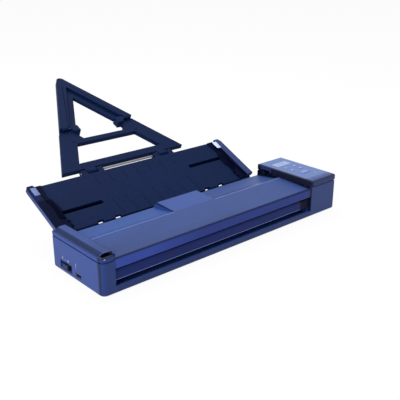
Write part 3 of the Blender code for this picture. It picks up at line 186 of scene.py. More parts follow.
# %% The dust group
speck_size = 0.0012
speck_octaves = 6.0
speck_roughness = 0.7
speck_floor = 0.42
speck_gain = 5.0
dust, dust_in, dust_out = start_group(
    "settled_dust",
    [("Amount", "NodeSocketFloat", 0.05)],
    [("Dust", "NodeSocketFloat")],
)
facing = place(dust, "ShaderNodeTexCoord")
normal_parts = place(dust, "ShaderNodeSeparateXYZ")
dust.links.new(facing.outputs["Normal"], normal_parts.inputs[0])
upward = calculate(dust, "MAXIMUM", normal_parts.outputs["Z"], 0.0)
speck = calculate(dust, "SUBTRACT", noise_at(dust, speck_size, speck_octaves, speck_roughness), speck_floor,
                  clamp=True)
settled = calculate(dust, "MULTIPLY", calculate(dust, "MULTIPLY", speck, speck_gain, clamp=True), upward)
dust.links.new(calculate(dust, "MULTIPLY", settled, dust_in.outputs["Amount"]), dust_out.inputs["Dust"])
print("made group", dust.name)

# %% [markdown]
# ## Areas
# Light and shade are painted onto the mouldings as paler or darker strips, such as the painted shade on the
# slope beside the cover or in the well under the latch. A second material with its own faces could hold them,
# but the CAD mesh isn't cut there. A box in object coordinates marks each strip instead. It turns with the
# part, and its soft border can be wide.

# %% The area group
border_middle = 0.5
area, area_in, area_out = start_group(
    "area_mask",
    [("Low", "NodeSocketVector", (0.0, 0.0, 0.0)), ("High", "NodeSocketVector", (1.0, 1.0, 1.0)),
     ("Soft", "NodeSocketVector", (0.0005, 0.0005, 0.0005))],
    [("Inside", "NodeSocketFloat")],
)
spot = place(area, "ShaderNodeTexCoord").outputs["Object"]
from_low = calculate_vector(area, "SUBTRACT", spot, area_in.outputs["Low"])
from_high = calculate_vector(area, "SUBTRACT", area_in.outputs["High"], spot)
nearest = calculate_vector(area, "MINIMUM", from_low, from_high)
faded = calculate_vector(area, "DIVIDE", nearest, area_in.outputs["Soft"])
sides = place(area, "ShaderNodeSeparateXYZ")
area.links.new(faded, sides.inputs[0])
least = calculate(area, "MINIMUM", sides.outputs["X"], sides.outputs["Y"])
depth = calculate(area, "MINIMUM", least, sides.outputs["Z"])
area.links.new(calculate(area, "ADD", depth, border_middle, clamp=True), area_out.inputs["Inside"])
print("made group", area.name)

# %% [markdown]
# ## Moulded plastics
# The case, guides, keys and gears are all moulded plastic with different colours and sheens. One function
# makes them: the groups above supply masks, and the Principled shader stays in the material itself.

# %% Helpers for materials


def blend_colours(tree, mask, first, second):
    """A Mix node between two colours; each is a socket or three numbers."""
    mix = place(tree, "ShaderNodeMix", data_type="RGBA")
    tree.links.new(mask, mix.inputs["Factor"])
    for label, colour in (("A", first), ("B", second)):
        socket = [s for s in mix.inputs if s.name == label and s.type == "RGBA"][0]
        if isinstance(colour, bpy.types.NodeSocket):
            tree.links.new(colour, socket)
        else:
            socket.default_value = (*colour, 1.0)
    return [s for s in mix.outputs if s.type == "RGBA"][0]


def scaled(colour, factor, extra=0.0):
    """A colour times a factor, held below white."""
    return tuple(min(value * factor + extra, 1.0) for value in colour)


def use_group(tree, group, **values):
    """A node that holds a shader group, with its inputs set by name."""
    node = place(tree, "ShaderNodeGroup", node_tree=group)
    for label, value in values.items():
        node.inputs[label.replace("_", " ")].default_value = value
    return node


def raise_grain(tree, shader, height, depth, normal=None):
    """Bump of this depth, on top of a normal where one is given."""
    bump = place(tree, "ShaderNodeBump")
    bump.inputs["Distance"].default_value = depth
    tree.links.new(height, bump.inputs["Height"])
    if normal:
        tree.links.new(normal, bump.inputs["Normal"])
    tree.links.new(bump.outputs["Normal"], shader.inputs["Normal"])


print("helpers for materials are ready")

# %% A recipe for moulded plastic
far = 0.5
crisp = 0.0003
drift_dark = 0.86
drift_pale = 1.14
grain_gloss = 0.12
# Edges are painted pale: partly rubbing from handling, partly a painted highlight.
edge_highlight_pale = 1.9
edge_highlight_lift = 0.01
dust_tone = (0.30, 0.31, 0.36)
dust_gloss = 0.5


def strip(tone, roughness, soft=crisp, x=(-far, far), y=(-far, far), z=(-far, far)):
    """The colour and roughness of painted light or shade on a plastic inside a box. A side that isn't given
    lies far outside the part.
    """
    widths = soft if isinstance(soft, tuple) else (soft, soft, soft)
    return tone, roughness, widths, tuple(zip(x, y, z))


def moulded(name, colour, roughness, grain_size=0.0004, grain_depth=0.00002, wear_and_highlight=0.5, dusty=0.05,
            specular=0.5, strips=()):
    """Moulded plastic: base colour, satin grain, any strips of painted light and shade in order, edges
    painted pale as rubbing and as a painted highlight, and a little dust.
    """
    made = bpy.data.materials.new(name)
    made.use_nodes = True
    tree = made.node_tree
    shader = tree.nodes["Principled BSDF"]
    grained = use_group(tree, grain, Size=grain_size)
    edged = use_group(tree, edges, Spread=wear_and_highlight)
    dusted = use_group(tree, dust, Amount=dusty)
    drift, height = grained.outputs["Drift"], grained.outputs["Height"]
    body = blend_colours(tree, drift, scaled(colour, drift_dark), scaled(colour, drift_pale))
    gloss = calculate(tree, "MULTIPLY_ADD", height, grain_gloss, roughness - grain_gloss / 2)
    for tone, own_roughness, widths, (low, high) in strips:
        inside = use_group(tree, area, Low=low, High=high, Soft=widths).outputs["Inside"]
        body = blend_colours(tree, inside, body, tone)
        gloss = calculate(tree, "ADD", gloss, calculate(tree, "MULTIPLY", inside, own_roughness - roughness))
    body = blend_colours(tree, edged.outputs["Edge"], body, scaled(colour, edge_highlight_pale, edge_highlight_lift))
    body = blend_colours(tree, dusted.outputs["Dust"], body, dust_tone)
    tree.links.new(body, shader.inputs["Base Color"])
    dulled = calculate(tree, "MULTIPLY", dusted.outputs["Dust"], dust_gloss)
    tree.links.new(calculate(tree, "ADD", gloss, dulled, clamp=True), shader.inputs["Roughness"])
    raise_grain(tree, shader, height, grain_depth, edged.outputs["Rounded"])
    shader.inputs["Specular IOR Level"].default_value = specular
    return made


print("the recipe for moulded plastic is ready")

# %% [markdown]
# ## Base and rim
# The case is one navy plastic, and the light and shade on its corners, lips and hollows are painted into it,
# paler or darker. The front left corner of the base is a tall post with a tight radius, so it is painted as a
# dark band of shade with a paler, less shaded flat beside it. The lip under the slot, the slot's right end
# and the recess round the slide switch get painted shade, and so does the right block under the pod. Separate
# faces would cut up the smooth solids, so each place is a strip, measured from the boxes of the parts that it
# lies against.

# %% The corner post
base_low, base_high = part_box("base_housing")
rim_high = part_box("left_rim_cap")[1]
left, front = base_low.x, base_low.y
seam = 0.0003
# Painted shade: on the post's front face, and darker still on the turn of its corner.
post_front_shade = (0.012, 0.031, 0.145)
post_shade = (0.004, 0.014, 0.068)
post_fade = 0.0020
shade_fade = 0.0010
post_depth = 0.0025
post_side = 0.0061
post_turn = 0.0019
post_overlap = 0.0008
post_z = (-far, rim_high.z - seam)
post_strips = [
    strip(post_front_shade, 0.42, post_fade, x=(-far, rim_high.x + post_overlap), y=(-far, front + post_depth),
          z=post_z),
    strip(post_shade, 0.42, shade_fade, x=(-far, left + post_turn), y=(front + post_depth, front + post_side),
          z=post_z),
]
print("the post is", round(rim_high.x - left, 4), "wide")

# %% The base's finish
pod_low, pod_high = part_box("control_pod")
switch_low, switch_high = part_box("power_switch")
navy = (0.019, 0.050, 0.220)
# Painted shade, near black, in the finger well, on the rim's inner side and at the slot's right end.
deep_shade = (0.001, 0.002, 0.010)
# Painted shade in slots: round the slide switch and at the right end of the paper slot.
slot_shade = (0.001, 0.002, 0.012)
# Painted shade on the right block under the pod and on the corner by the slot's right end.
block_shade = (0.016, 0.037, 0.155)
block_left = pod_low.x + 0.0006
block_fade = 0.0004
corner_shade = (0.003, 0.007, 0.040)
corner_depth = 0.0035
corner_foot = 0.0050
corner_head = 0.0009
slot_left = rim_high.x + 0.0010
slot_right = pod_low.x - 0.0010
wall_right = pod_low.x + 0.0122
wall_front = front + 0.0017
wall_foot = base_high.z - 0.0109
wall_fade = 0.0006
# Painted shade on the lip under the slot.
lip_shade = (0.009, 0.027, 0.120)
lip_top = base_low.z + 0.0060
# How far the painted shade of the switch's recess reaches beyond the switch.
switch_shade_side = 0.0054
switch_shade_below = 0.0014
switch_shade_above = 0.0011
switch_shade_fade = 0.0005
base_finish = moulded("base_plastic", navy, 0.42, specular=0.22, strips=[
    strip(block_shade, 0.42, block_fade, x=(block_left, far)),
    strip(corner_shade, 0.40, block_fade, x=(slot_right, block_left), y=(-far, front + corner_depth),
          z=(base_low.z + corner_foot, base_high.z - corner_head)),
    strip(deep_shade, 0.30, wall_fade, x=(slot_right, wall_right), y=(wall_front, pod_high.y - seam),
          z=(wall_foot, far)),
    *post_strips,
    strip(lip_shade, 0.42, x=(slot_left, pod_low.x), y=(-far, front + post_depth), z=(-far, lip_top)),
    strip(slot_shade, 0.60, switch_shade_fade, x=(-far, left + seam),
          y=(switch_low.y - switch_shade_side, switch_high.y + switch_shade_side),
          z=(switch_low.z - switch_shade_below, switch_high.z + switch_shade_above)),
])
case_finish = moulded("navy_case_plastic", navy, 0.42, specular=0.22)
print("the base:", base_finish.name, "and plain parts of the case:", case_finish.name)

# %% [markdown]
# The rim cap closes the left block round the finger well. The well is polished inside, and it and the rim's
# inner side are painted near black as shade. The moulded slope round the well is matt, with painted shade on
# it. At its near corner the rim's thin edge has a painted glint of light.

# %% The rim's finish
# Painted shade on the moulded slope round the finger well, and on the cover's wing beside it.
slope_shade = (0.006, 0.016, 0.066)
slope_fade = 0.0005
slope_left = left + 0.0004
slope_near = front + 0.0031
slope_top = rim_high.z - 0.0006
side_left = left + 0.0022
side_near = front + 0.00205
side_top = rim_high.z - 0.0004
well_left = left + 0.0007
well_foot = rim_high.z - 0.0011
glint_tone = (0.220, 0.290, 0.600)
glint_x = (left + 0.0015, left + 0.0041)
glint_z = (rim_high.z - 0.0017, rim_high.z - 0.0008)
glint_depth = 0.0006
rim_finish = moulded("rim_plastic", navy, 0.42, specular=0.18, strips=[
    strip(slope_shade, 0.65, slope_fade, x=(slope_left, far), y=(slope_near, far), z=(slope_top, far)),
    strip(deep_shade, 0.15, x=(side_left, far), y=(side_near, far), z=(-far, side_top)),
    *post_strips,
    strip(deep_shade, 0.60, x=(well_left, far), y=(front + seam, front + post_depth), z=(well_foot, far)),
    strip(glint_tone, 0.30, x=glint_x, y=(-far, front + glint_depth), z=glint_z),
])
print("the rim:", rim_finish.name)

# %% [markdown]
# ## Cover
# The light on a long flat moulding changes across it, and here that is painted into the colour: painted shade
# falls off towards its near corner, the front face gets deeper painted shade, and a crease between the two is
# painted dark as shade. A ridge runs along the cover with a painted highlight along it. Behind it the surface
# slopes down and is painted lighter, and a raised middle part stands across that slope. Several strips with
# wide soft borders give these changes, and the ones that come later lie on top.

# %% The cover's near corner
cover_low, cover_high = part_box("top_cover")
slot_middle = (rim_high.x + pod_low.x) / 2
# Painted shade towards the cover's near corner.
near_shade = (0.016, 0.041, 0.155)
near_fade = (0.030, 0.016, 0.016)
near_end = slot_middle + 0.0275
near_side = front + 0.0085
near_corner_shade = (0.016, 0.041, 0.160)
corner_fade = (0.070, 0.020, 0.020)
corner_end = slot_middle - 0.0775
corner_side = front + 0.0245
near_strips = [
    strip(near_shade, 0.40, near_fade, x=(-far, near_end), y=(-far, near_side)),
    strip(near_corner_shade, 0.40, corner_fade, x=(-far, corner_end), y=(-far, corner_side)),
]
print("the slot's middle is at", round(slot_middle, 4))

# %% The cover's slope and raised part
ridge_y = front + 0.0420
bump_half = 0.0250
bump_left, bump_right = slot_middle - bump_half, slot_middle + bump_half
bump_seam = 0.0005
slope_start = rim_high.x + 0.0017
slope_end = pod_low.x - 0.0028
# Painted light behind the ridge: left of, on and right of the raised part.
behind_lights = (0.040, 0.086, 0.285), (0.030, 0.070, 0.270), (0.026, 0.062, 0.220)
behind_fade = 0.0020
behind_y = (ridge_y + 0.0010, far)
behind_z = (cover_low.z + 0.0002, far)
spans = ((slope_start, bump_left - bump_seam), (bump_left + bump_seam / 2, bump_right - bump_seam / 2),
         (bump_right + bump_seam, slope_end))
# Painted shade on the raised part's left flank.
flank_shade = (0.014, 0.028, 0.115)
flank_x = (bump_left - 0.00075, bump_left + 0.00025)
flank_foot = cover_high.z - 0.0056
slope_strips = [strip(tone, 0.40, behind_fade, x=span, y=behind_y, z=behind_z)
                for tone, span in zip(behind_lights, spans)]
slope_strips.append(strip(flank_shade, 0.45, x=flank_x, y=behind_y, z=(flank_foot, far)))
print("the ridge is at", round(ridge_y, 4), "and the raised part from", round(bump_left, 4))

# %% The cover's front face and ends
# Painted shade in the crease and on the front face, painted light at the face's left end, and painted shade
# at the right end by the pod, on the wing's slope and in the finger well.
crease_shade = (0.002, 0.008, 0.050)
crease_depth = 0.0028
crease_z = (cover_low.z + 0.0078, cover_low.z + 0.0098)
face_shade = (0.012, 0.030, 0.185)
face_fade = 0.0004
face_left = cover_low.x + 0.0038
face_right = pod_low.x + 0.0032
face_y = (-far, front + 0.0010)
face_z = (-far, cover_low.z + 0.0083)
left_end_light = (0.023, 0.050, 0.278)
left_end_fade = (0.0600, face_fade, face_fade)
left_end_x = slot_middle - 0.0575
right_end_shade = (0.003, 0.007, 0.030)
right_end_fade = 0.0030
right_end_x = pod_low.x - 0.0036
wing_fade = 0.0007
wing_right = cover_low.x + 0.0028
wing_front = front + 0.0069
wing_foot = cover_low.z + 0.0082
well_right = rim_high.x + 0.0011
well_back = front + 0.0059
front_strips = [
    strip(crease_shade, 0.85, x=(slot_left, face_right), y=(-far, front + crease_depth), z=crease_z),
    strip(face_shade, 0.35, face_fade, x=(face_left, face_right), y=face_y, z=face_z),
    strip(left_end_light, 0.35, left_end_fade, x=(-far, left_end_x), y=face_y, z=face_z),
    strip(right_end_shade, 0.30, right_end_fade, x=(right_end_x, far)),
    strip(slope_shade, 0.65, wing_fade, x=(-far, wing_right), y=(wing_front, far), z=(wing_foot, far)),
    strip(deep_shade, 0.15, x=(-far, well_right), y=(-far, well_back), z=(wing_foot, cover_high.z - seam)),
]
print("strips on the front and the ends:", len(front_strips))

# %% The cover's ridge and its finish
ridge_light = (0.160, 0.220, 0.520)
ridge_fade = 0.0004
ridge_half = 0.0005
ridge_left = rim_high.x + 0.0032
ridge_seam = 0.00015
ridge_sides = (ridge_y - ridge_half, ridge_y + ridge_half)
ridge_z = (crease_z[1], far)
ridge_strips = [strip(ridge_light, 0.30, ridge_fade, x=span, y=ridge_sides, z=ridge_z)
                for span in ((ridge_left, bump_left - ridge_seam), (bump_right + ridge_seam, slope_end))]
cover_finish = moulded("navy_cover_plastic", (0.021, 0.053, 0.205), 0.40, specular=0.16,
                       strips=near_strips + slope_strips + front_strips + ridge_strips)
print("the cover:", cover_finish.name)

# %% [markdown]
# ## Pod, guides and support
# The pod's top is glossier than the case, and its reflection of the room is painted into its colour, much
# paler than its sides, with a soft edge where it starts to curve down; its left side gets painted shade. The
# guide plate in the slot has a painted highlight on its edge and painted shade at its right end. The side
# guides are almost black. Only their outer walls and the left rail's top, which the light meets squarely,
# carry painted light in blue.

# %% The lower guide plate's finish
inner_low, inner_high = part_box("lower_paper_guide")
# Painted highlights on the plate's front and left edges, and painted shade at its right end.
edge_light = (0.120, 0.165, 0.420)
edge_fade = 0.0004
edge_foot = inner_low.z + 0.0077
edge_top = inner_low.z + 0.0086
edge_y = (-far, inner_low.y + 0.0063)
edge_margin = 0.0006
plate_depth = 0.0163
plate_end = inner_high.x - 0.0140
plate_fade = 0.0015
inner_finish = moulded("paper_guide_plastic", (0.006, 0.016, 0.105), 0.35, specular=0.10, strips=[
    strip(edge_light, 0.30, edge_fade, y=edge_y, z=(edge_foot, edge_top)),
    strip(edge_light, 0.30, edge_fade, x=(-far, inner_low.x + edge_margin), y=edge_y,
          z=(edge_foot, inner_high.z - edge_margin)),
    strip(slot_shade, 0.60, plate_fade, x=(plate_end, far), y=(-far, inner_low.y + plate_depth),
          z=(-far, inner_high.z)),
])
print("the lower guide plate:", inner_finish.name)

# %% The pod's finish
# Painted reflection of the room on the pod's top, painted shade on its left side, with the notch in that side
# painted paler.
top_reflection = (0.128, 0.222, 0.560)
mirror_fade = 0.0120
mirror_left = pod_low.x + 0.0032
mirror_front = front + 0.0070
mirror_foot = pod_high.z - 0.0018
pod_side_shade = (0.002, 0.004, 0.022)
pod_side_right = pod_low.x + 0.0021
notch_tone = (0.022, 0.036, 0.160)
notch_fade = 0.0020
notch_right = pod_low.x + 0.0005
notch_y = (pod_high.y - 0.0195, pod_high.y - 0.0055)
notch_z = (pod_low.z + 0.0016, pod_high.z - 0.0009)
pod_finish = moulded("pod_plastic", (0.004, 0.016, 0.086), 0.32, specular=0.25, wear_and_highlight=0.6, dusty=0.0, strips=[
    strip(top_reflection, 0.20, mirror_fade, x=(mirror_left, far), y=(mirror_front, far), z=(mirror_foot, far)),
    strip(pod_side_shade, 0.70, x=(-far, pod_side_right)),
    strip(notch_tone, 0.20, notch_fade, x=(-far, notch_right), y=notch_y, z=notch_z),
])
print("the pod:", pod_finish.name)

# %% Finishes of the side guides and the support
left_guide_low, left_guide_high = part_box("left_side_guide")
right_guide_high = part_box("right_side_guide")[1]
guide_black = (0.002, 0.004, 0.020)
guide_look = {"wear_and_highlight": 0.2, "dusty": 0.0, "specular": 0.02}
# Painted light on the guides' outer walls and on the left rail's top.
left_wall_light = (0.060, 0.088, 0.240)
left_wall_right = left_guide_low.x + 0.0004
rail_light = (0.010, 0.016, 0.065)
rail_fade = 0.0040
rail_x = (left_guide_low.x + 0.0008, left_guide_low.x + 0.0084)
rail_start = left_guide_high.y - 0.0204
right_wall_light = (0.036, 0.056, 0.165)
right_wall_fade = 0.0005
right_wall_x = (right_guide_high.x - 0.0081, right_guide_high.x - 0.0008)
guide_finish = moulded("black_guide_plastic", guide_black, 0.50, **guide_look)
left_guide_finish = moulded("left_guide_plastic", guide_black, 0.50, **guide_look, strips=[
    strip(left_wall_light, 0.45, x=(-far, left_wall_right)),
    strip(rail_light, 0.50, rail_fade, x=rail_x, y=(rail_start, far)),
])
right_guide_finish = moulded("right_guide_plastic", guide_black, 0.50, **guide_look, strips=[
    strip(right_wall_light, 0.45, right_wall_fade, x=right_wall_x),
])
support_finish = moulded("dark_support_plastic", (0.002, 0.010, 0.048), 0.60, wear_and_highlight=0.4, specular=0.05,
                         dusty=0.02)
print("guides and support:", left_guide_finish.name, right_guide_finish.name, support_finish.name)

# %% [markdown]
# Keys, gears and rollers are moulded too. They are small and even in colour, so they need no strips. Rubber
# gets a finer and deeper grain, because rollers are ground after moulding.

# %% Keys, gears and rollers
key_finish = moulded("grey_key_plastic", (0.20, 0.26, 0.46), 0.45, dusty=0.0)
scan_finish = moulded("pale_key_plastic", (0.15, 0.22, 0.50), 0.30, dusty=0.0, specular=0.3)
nylon_finish = moulded("natural_nylon", (0.70, 0.72, 0.74), 0.38, wear_and_highlight=0.0, dusty=0.0)
rubber_finish = moulded("roller_rubber", (0.012, 0.014, 0.026), 0.80, grain_size=0.0003,
                        grain_depth=0.00005, wear_and_highlight=0.2, dusty=0.0, specular=0.1)
print("materials so far:", len(bpy.data.materials))

# %% [markdown]
# ## Metals
# Shafts are centreless-ground steel: the tool leaves fine rings round the rod, which stretch highlights
# across it. Noise squeezed along one axis gives those rings.

# %% Steel
ring_squeeze = (900.0, 60.0, 60.0)
ring_scale = 4.0
ring_octaves = 3.0
ring_depth = 0.00001
ring_dark = 0.8
ring_gloss = 0.25
ring_centre = 0.12
# The steel's edges are painted bright: partly bare rubbed metal, partly a painted highlight.
steel_wear_and_highlight = 0.4
bare_and_highlit_edge = (0.85, 0.86, 0.88)


def ground_steel(name, colour, roughness):
    """Ground steel: fine rings across the rod's length, and edges painted bright, partly as bare rubbed metal
    and partly as a painted highlight.
    """
    made = bpy.data.materials.new(name)
    made.use_nodes = True
    tree = made.node_tree
    shader = tree.nodes["Principled BSDF"]
    where = place(tree, "ShaderNodeTexCoord")
    squeeze = place(tree, "ShaderNodeMapping")
    squeeze.inputs["Scale"].default_value = ring_squeeze
    rings = place(tree, "ShaderNodeTexNoise")
    rings.inputs["Scale"].default_value = ring_scale
    rings.inputs["Detail"].default_value = ring_octaves
    tree.links.new(where.outputs["Object"], squeeze.inputs["Vector"])
    tree.links.new(squeeze.outputs["Vector"], rings.inputs["Vector"])
    edged = use_group(tree, edges, Spread=steel_wear_and_highlight)
    body = blend_colours(tree, rings.outputs["Fac"], scaled(colour, ring_dark), colour)
    body = blend_colours(tree, edged.outputs["Edge"], body, bare_and_highlit_edge)
    tree.links.new(body, shader.inputs["Base Color"])
    rough = calculate(tree, "MULTIPLY_ADD", rings.outputs["Fac"], ring_gloss, roughness - ring_centre)
    tree.links.new(rough, shader.inputs["Roughness"])
    raise_grain(tree, shader, rings.outputs["Fac"], ring_depth, edged.outputs["Rounded"])
    shader.inputs["Metallic"].default_value = 1.0
    return made


steel_finish = ground_steel("ground_steel", (0.32, 0.33, 0.37), 0.34)
print("metals:", steel_finish.name)

# %% [markdown]
# ## Glass, display and boards
# The contact sensors look out through strips of clear glass, and the display sits under a glossy window.
# The circuit boards are green lacquer over copper tracks, drawn here with a brick pattern whose mortar
# lines read as tracks.

# %% Glass and boards
smear_size = 0.030
smear_octaves = 1.0
smear_gloss = 0.12
smear_gain = 1.05
glass_through = 0.85
glass_index = 1.5
track_scale = 220.0
track_width = 0.06
track_depth = 0.00004
lacquer = (0.010, 0.075, 0.035)
covered_track = (0.045, 0.19, 0.08)
lacquer_size = 0.004
lacquer_gloss = 0.15
lacquer_floor = 0.25


def clear_glass(name, tint):
    """Clear glass with a faint tint and broad smears."""
    made = bpy.data.materials.new(name)
    made.use_nodes = True
    tree = made.node_tree
    shader = tree.nodes["Principled BSDF"]
    smears = noise_at(tree, smear_size, smear_octaves)
    tree.links.new(calculate(tree, "MULTIPLY", smears, smear_gloss), shader.inputs["Roughness"])
    tree.links.new(blend_colours(tree, smears, tint, scaled(tint, smear_gain)), shader.inputs["Base Color"])
    shader.inputs["Transmission Weight"].default_value = glass_through
    shader.inputs["IOR"].default_value = glass_index
    return made


def circuit_board(name):
    """Green lacquer over a brick pattern of tracks."""
    made = bpy.data.materials.new(name)
    made.use_nodes = True
    tree = made.node_tree
    shader = tree.nodes["Principled BSDF"]
    where = place(tree, "ShaderNodeTexCoord")
    tracks = place(tree, "ShaderNodeTexBrick")
    tracks.inputs["Scale"].default_value = track_scale
    tracks.inputs["Mortar Size"].default_value = track_width
    tree.links.new(where.outputs["Object"], tracks.inputs["Vector"])
    body = blend_colours(tree, tracks.outputs["Fac"], lacquer, covered_track)
    tree.links.new(body, shader.inputs["Base Color"])
    ripple = noise_at(tree, lacquer_size, grain_octaves)
    rough = calculate(tree, "MULTIPLY_ADD", ripple, lacquer_gloss, lacquer_floor)
    tree.links.new(rough, shader.inputs["Roughness"])
    raise_grain(tree, shader, tracks.outputs["Fac"], track_depth)
    return made


glass_finish = clear_glass("sensor_glass", (0.42, 0.50, 0.56))
board_finish = circuit_board("green_board")
window_finish = moulded("display_window", (0.26, 0.35, 0.62), 0.16, grain_depth=0.000002, wear_and_highlight=0.0,
                        dusty=0.02)
pack_finish = moulded("wrapped_cells", (0.42, 0.44, 0.50), 0.35, grain_size=0.003, grain_depth=0.0001,
                      wear_and_highlight=0.3, dusty=0.0)
print("glass and boards:", glass_finish.name, board_finish.name, window_finish.name)

# %% Give every node its finish
finishes = {
    "case_plastic": case_finish,
    "guide_plastic": guide_finish,
    "grey_plastic": key_finish,
    "rubber": rubber_finish,
    "steel": steel_finish,
    "nylon": nylon_finish,
    "glass": glass_finish,
    "board_green": board_finish,
    "display_glass": window_finish,
    "pack_silver": pack_finish,
}
own_finish = {
    "base_housing": base_finish,
    "top_cover": cover_finish,
    "left_rim_cap": rim_finish,
    "lower_paper_guide": inner_finish,
    "control_pod": pod_finish,
    "tray_panel": support_finish,
    "middle_frame": support_finish,
    "support_loop": support_finish,
    "left_side_guide": left_guide_finish,
    "right_side_guide": right_guide_finish,
    "left_guide_rack": guide_finish,
    "right_guide_rack": guide_finish,
    "scan_button": scan_finish,
}
slot_of = {entry["node"]: entry["material_slot"] for entry in frame["record"]["subparts"]}
for name, obj in nodes.items():
    obj.data.materials.clear()
    obj.data.materials.append(own_finish.get(name, finishes[slot_of[name]]))
print("finished", len(nodes), "nodes in", len(set(slot_of.values())), "slots")

# %% [markdown]
# ## Small pieces
# Labels, symbols, ribs and screw recesses are too small for the CAD model, but they are what the eye reads
# first on a plain case. Each starts as a flat outline raised from a plane, or as a profile turned round an
# axis. Both are built with bmesh, so the lesson needs no operators and no edit mode.

# %% Planes and outlines


def plane(origin, right, up):
    """A matrix whose X and Y axes run along right and up, and whose Z axis stands on the surface."""
    across = Vector(right).normalized()
    normal = across.cross(Vector(up)).normalized()
    facing = Matrix((across, normal.cross(across), normal)).transposed().to_4x4()
    facing.translation = Vector(origin)
    return facing


def rounded(left, right, bottom, top, radius, steps=4):
    """The outline of a rectangle with round corners."""
    points = []
    corners = ((right - radius, top - radius), (left + radius, top - radius),
               (left + radius, bottom + radius), (right - radius, bottom + radius))
    for quarter, (x, y) in enumerate(corners):
        for step in range(steps + 1):
            angle = math.radians(90 * (quarter + step / steps))
            points.append((x + radius * math.cos(angle), y + radius * math.sin(angle)))
    return points


def stroke(start, end, width, steps=4):
    """The outline of a straight line with round ends."""
    run = math.atan2(end[1] - start[1], end[0] - start[0])
    points = []
    for (x, y), first in ((end, run - math.pi / 2), (start, run + math.pi / 2)):
        for step in range(steps + 1):
            angle = first + math.pi * step / steps
            points.append((x + width / 2 * math.cos(angle), y + width / 2 * math.sin(angle)))
    return points


def around(x, y, radius, steps=20):
    """The outline of a circle."""
    turns = [2 * math.pi * step / steps for step in range(steps)]
    return [(x + radius * math.cos(turn), y + radius * math.sin(turn)) for turn in turns]


print("outlines:", len(rounded(0, 1, 0, 1, 0.1)), "points in a rounded rectangle")

# %% Raised and turned pieces
smooth_below = math.radians(35)
bevel_above = math.radians(40)


def dressed(name, shape, where, finish, body):
    """An object made of a bmesh, put in place and riding on a body."""
    bmesh.ops.recalc_face_normals(shape, faces=shape.faces[:])
    mesh = bpy.data.meshes.new(name)
    for face in shape.faces:
        face.smooth = True
    shape.to_mesh(mesh)
    shape.free()
    mesh.set_sharp_from_angle(angle=smooth_below)
    mesh.materials.append(finish)
    made = bpy.data.objects.new(name, mesh)
    bpy.context.scene.collection.objects.link(made)
    made.matrix_world = where
    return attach(made, body)


def raised(name, outlines, where, low, high, finish, body, soft=0.0):
    """Flat shapes that stand from low to high on a plane. Their edges are softened if asked."""
    shape = bmesh.new()
    for outline in outlines:
        face = shape.faces.new([shape.verts.new((x, y, low)) for x, y in outline])
        grown = bmesh.ops.extrude_face_region(shape, geom=[face])["geom"]
        lifted = [item for item in grown if isinstance(item, bmesh.types.BMVert)]
        bmesh.ops.translate(shape, verts=lifted, vec=(0, 0, high - low))
    if soft:
        rims = [edge for edge in shape.edges if edge.calc_face_angle(0.0) > bevel_above]
        bmesh.ops.bevel(shape, geom=rims, offset=soft, segments=2, affect="EDGES", profile=0.5)
    return dressed(name, shape, where, finish, body)


def turned(name, profile, places, where, finish, body, steps=20):
    """A profile of (radius, height) points turned round the plane's normal at each place."""
    shape = bmesh.new()
    for x, y in places:
        rows = []
        for radius, height in profile:
            ring = around(x, y, radius, steps) if radius else [(x, y)]
            rows.append([shape.verts.new((px, py, height)) for px, py in ring])
        for low, high in zip(rows, rows[1:]):
            for step in range(steps):
                after = (step + 1) % steps
                corners = [low[step % len(low)], low[after % len(low)],
                           high[after % len(high)], high[step % len(high)]]
                shape.faces.new(list(dict.fromkeys(corners)))
    return dressed(name, shape, where, finish, body)


thin = 0.00004
print("helpers for small pieces are ready")

# %% [markdown]
# ## Printed and inlaid finishes
# Pad printing lays a film of pale ink a few hundredths of a millimetre thick. The labels on the side guides
# are thin pressed plates. Both take the same plastic recipe with a lighter colour.

# %% Finishes of the small pieces
ink_finish = moulded("pale_ink", (0.34, 0.42, 0.80), 0.5, wear_and_highlight=0.0, dusty=0.0, specular=0.2)
label_finishes = {
    "left": moulded("left_label_plate", (0.150, 0.205, 0.420), 0.42, wear_and_highlight=0.0, dusty=0.02, specular=0.1),
    "right": moulded("right_label_plate", (0.62, 0.70, 0.98), 0.42, wear_and_highlight=0.0, dusty=0.02, specular=0.2),
}
dark_finish = moulded("black_detail", (0.0015, 0.0025, 0.012), 0.6, wear_and_highlight=0.0, dusty=0.0, specular=0.01)
# The socket's shell is darkened near black: painted shade of the socket's opening.
shaded_shell_finish = ground_steel("shaded_socket_shell", (0.022, 0.026, 0.050), 0.55)
nodes["usb_socket"].data.materials[0] = shaded_shell_finish
print("small finishes:", ink_finish.name, dark_finish.name, shaded_shell_finish.name, len(label_finishes), "labels")

# %% [markdown]
# ## Left face: switch, socket and their marks
# The slide switch has a ribbed thumb pad, so that a finger can push it along without slipping. Its ribs are
# one cosine wave drawn along the pad and raised across it. Beside the switch are the usual bar and ring for
# on and off, and a small plug over the socket, which tell what each is for. Ink this thin needs no bevel.

# %% The switch pad
rib_count = 4
rib_depth = 0.0011
wave_steps = 10
crest_half = 0.0003
crest_depth = 0.00025
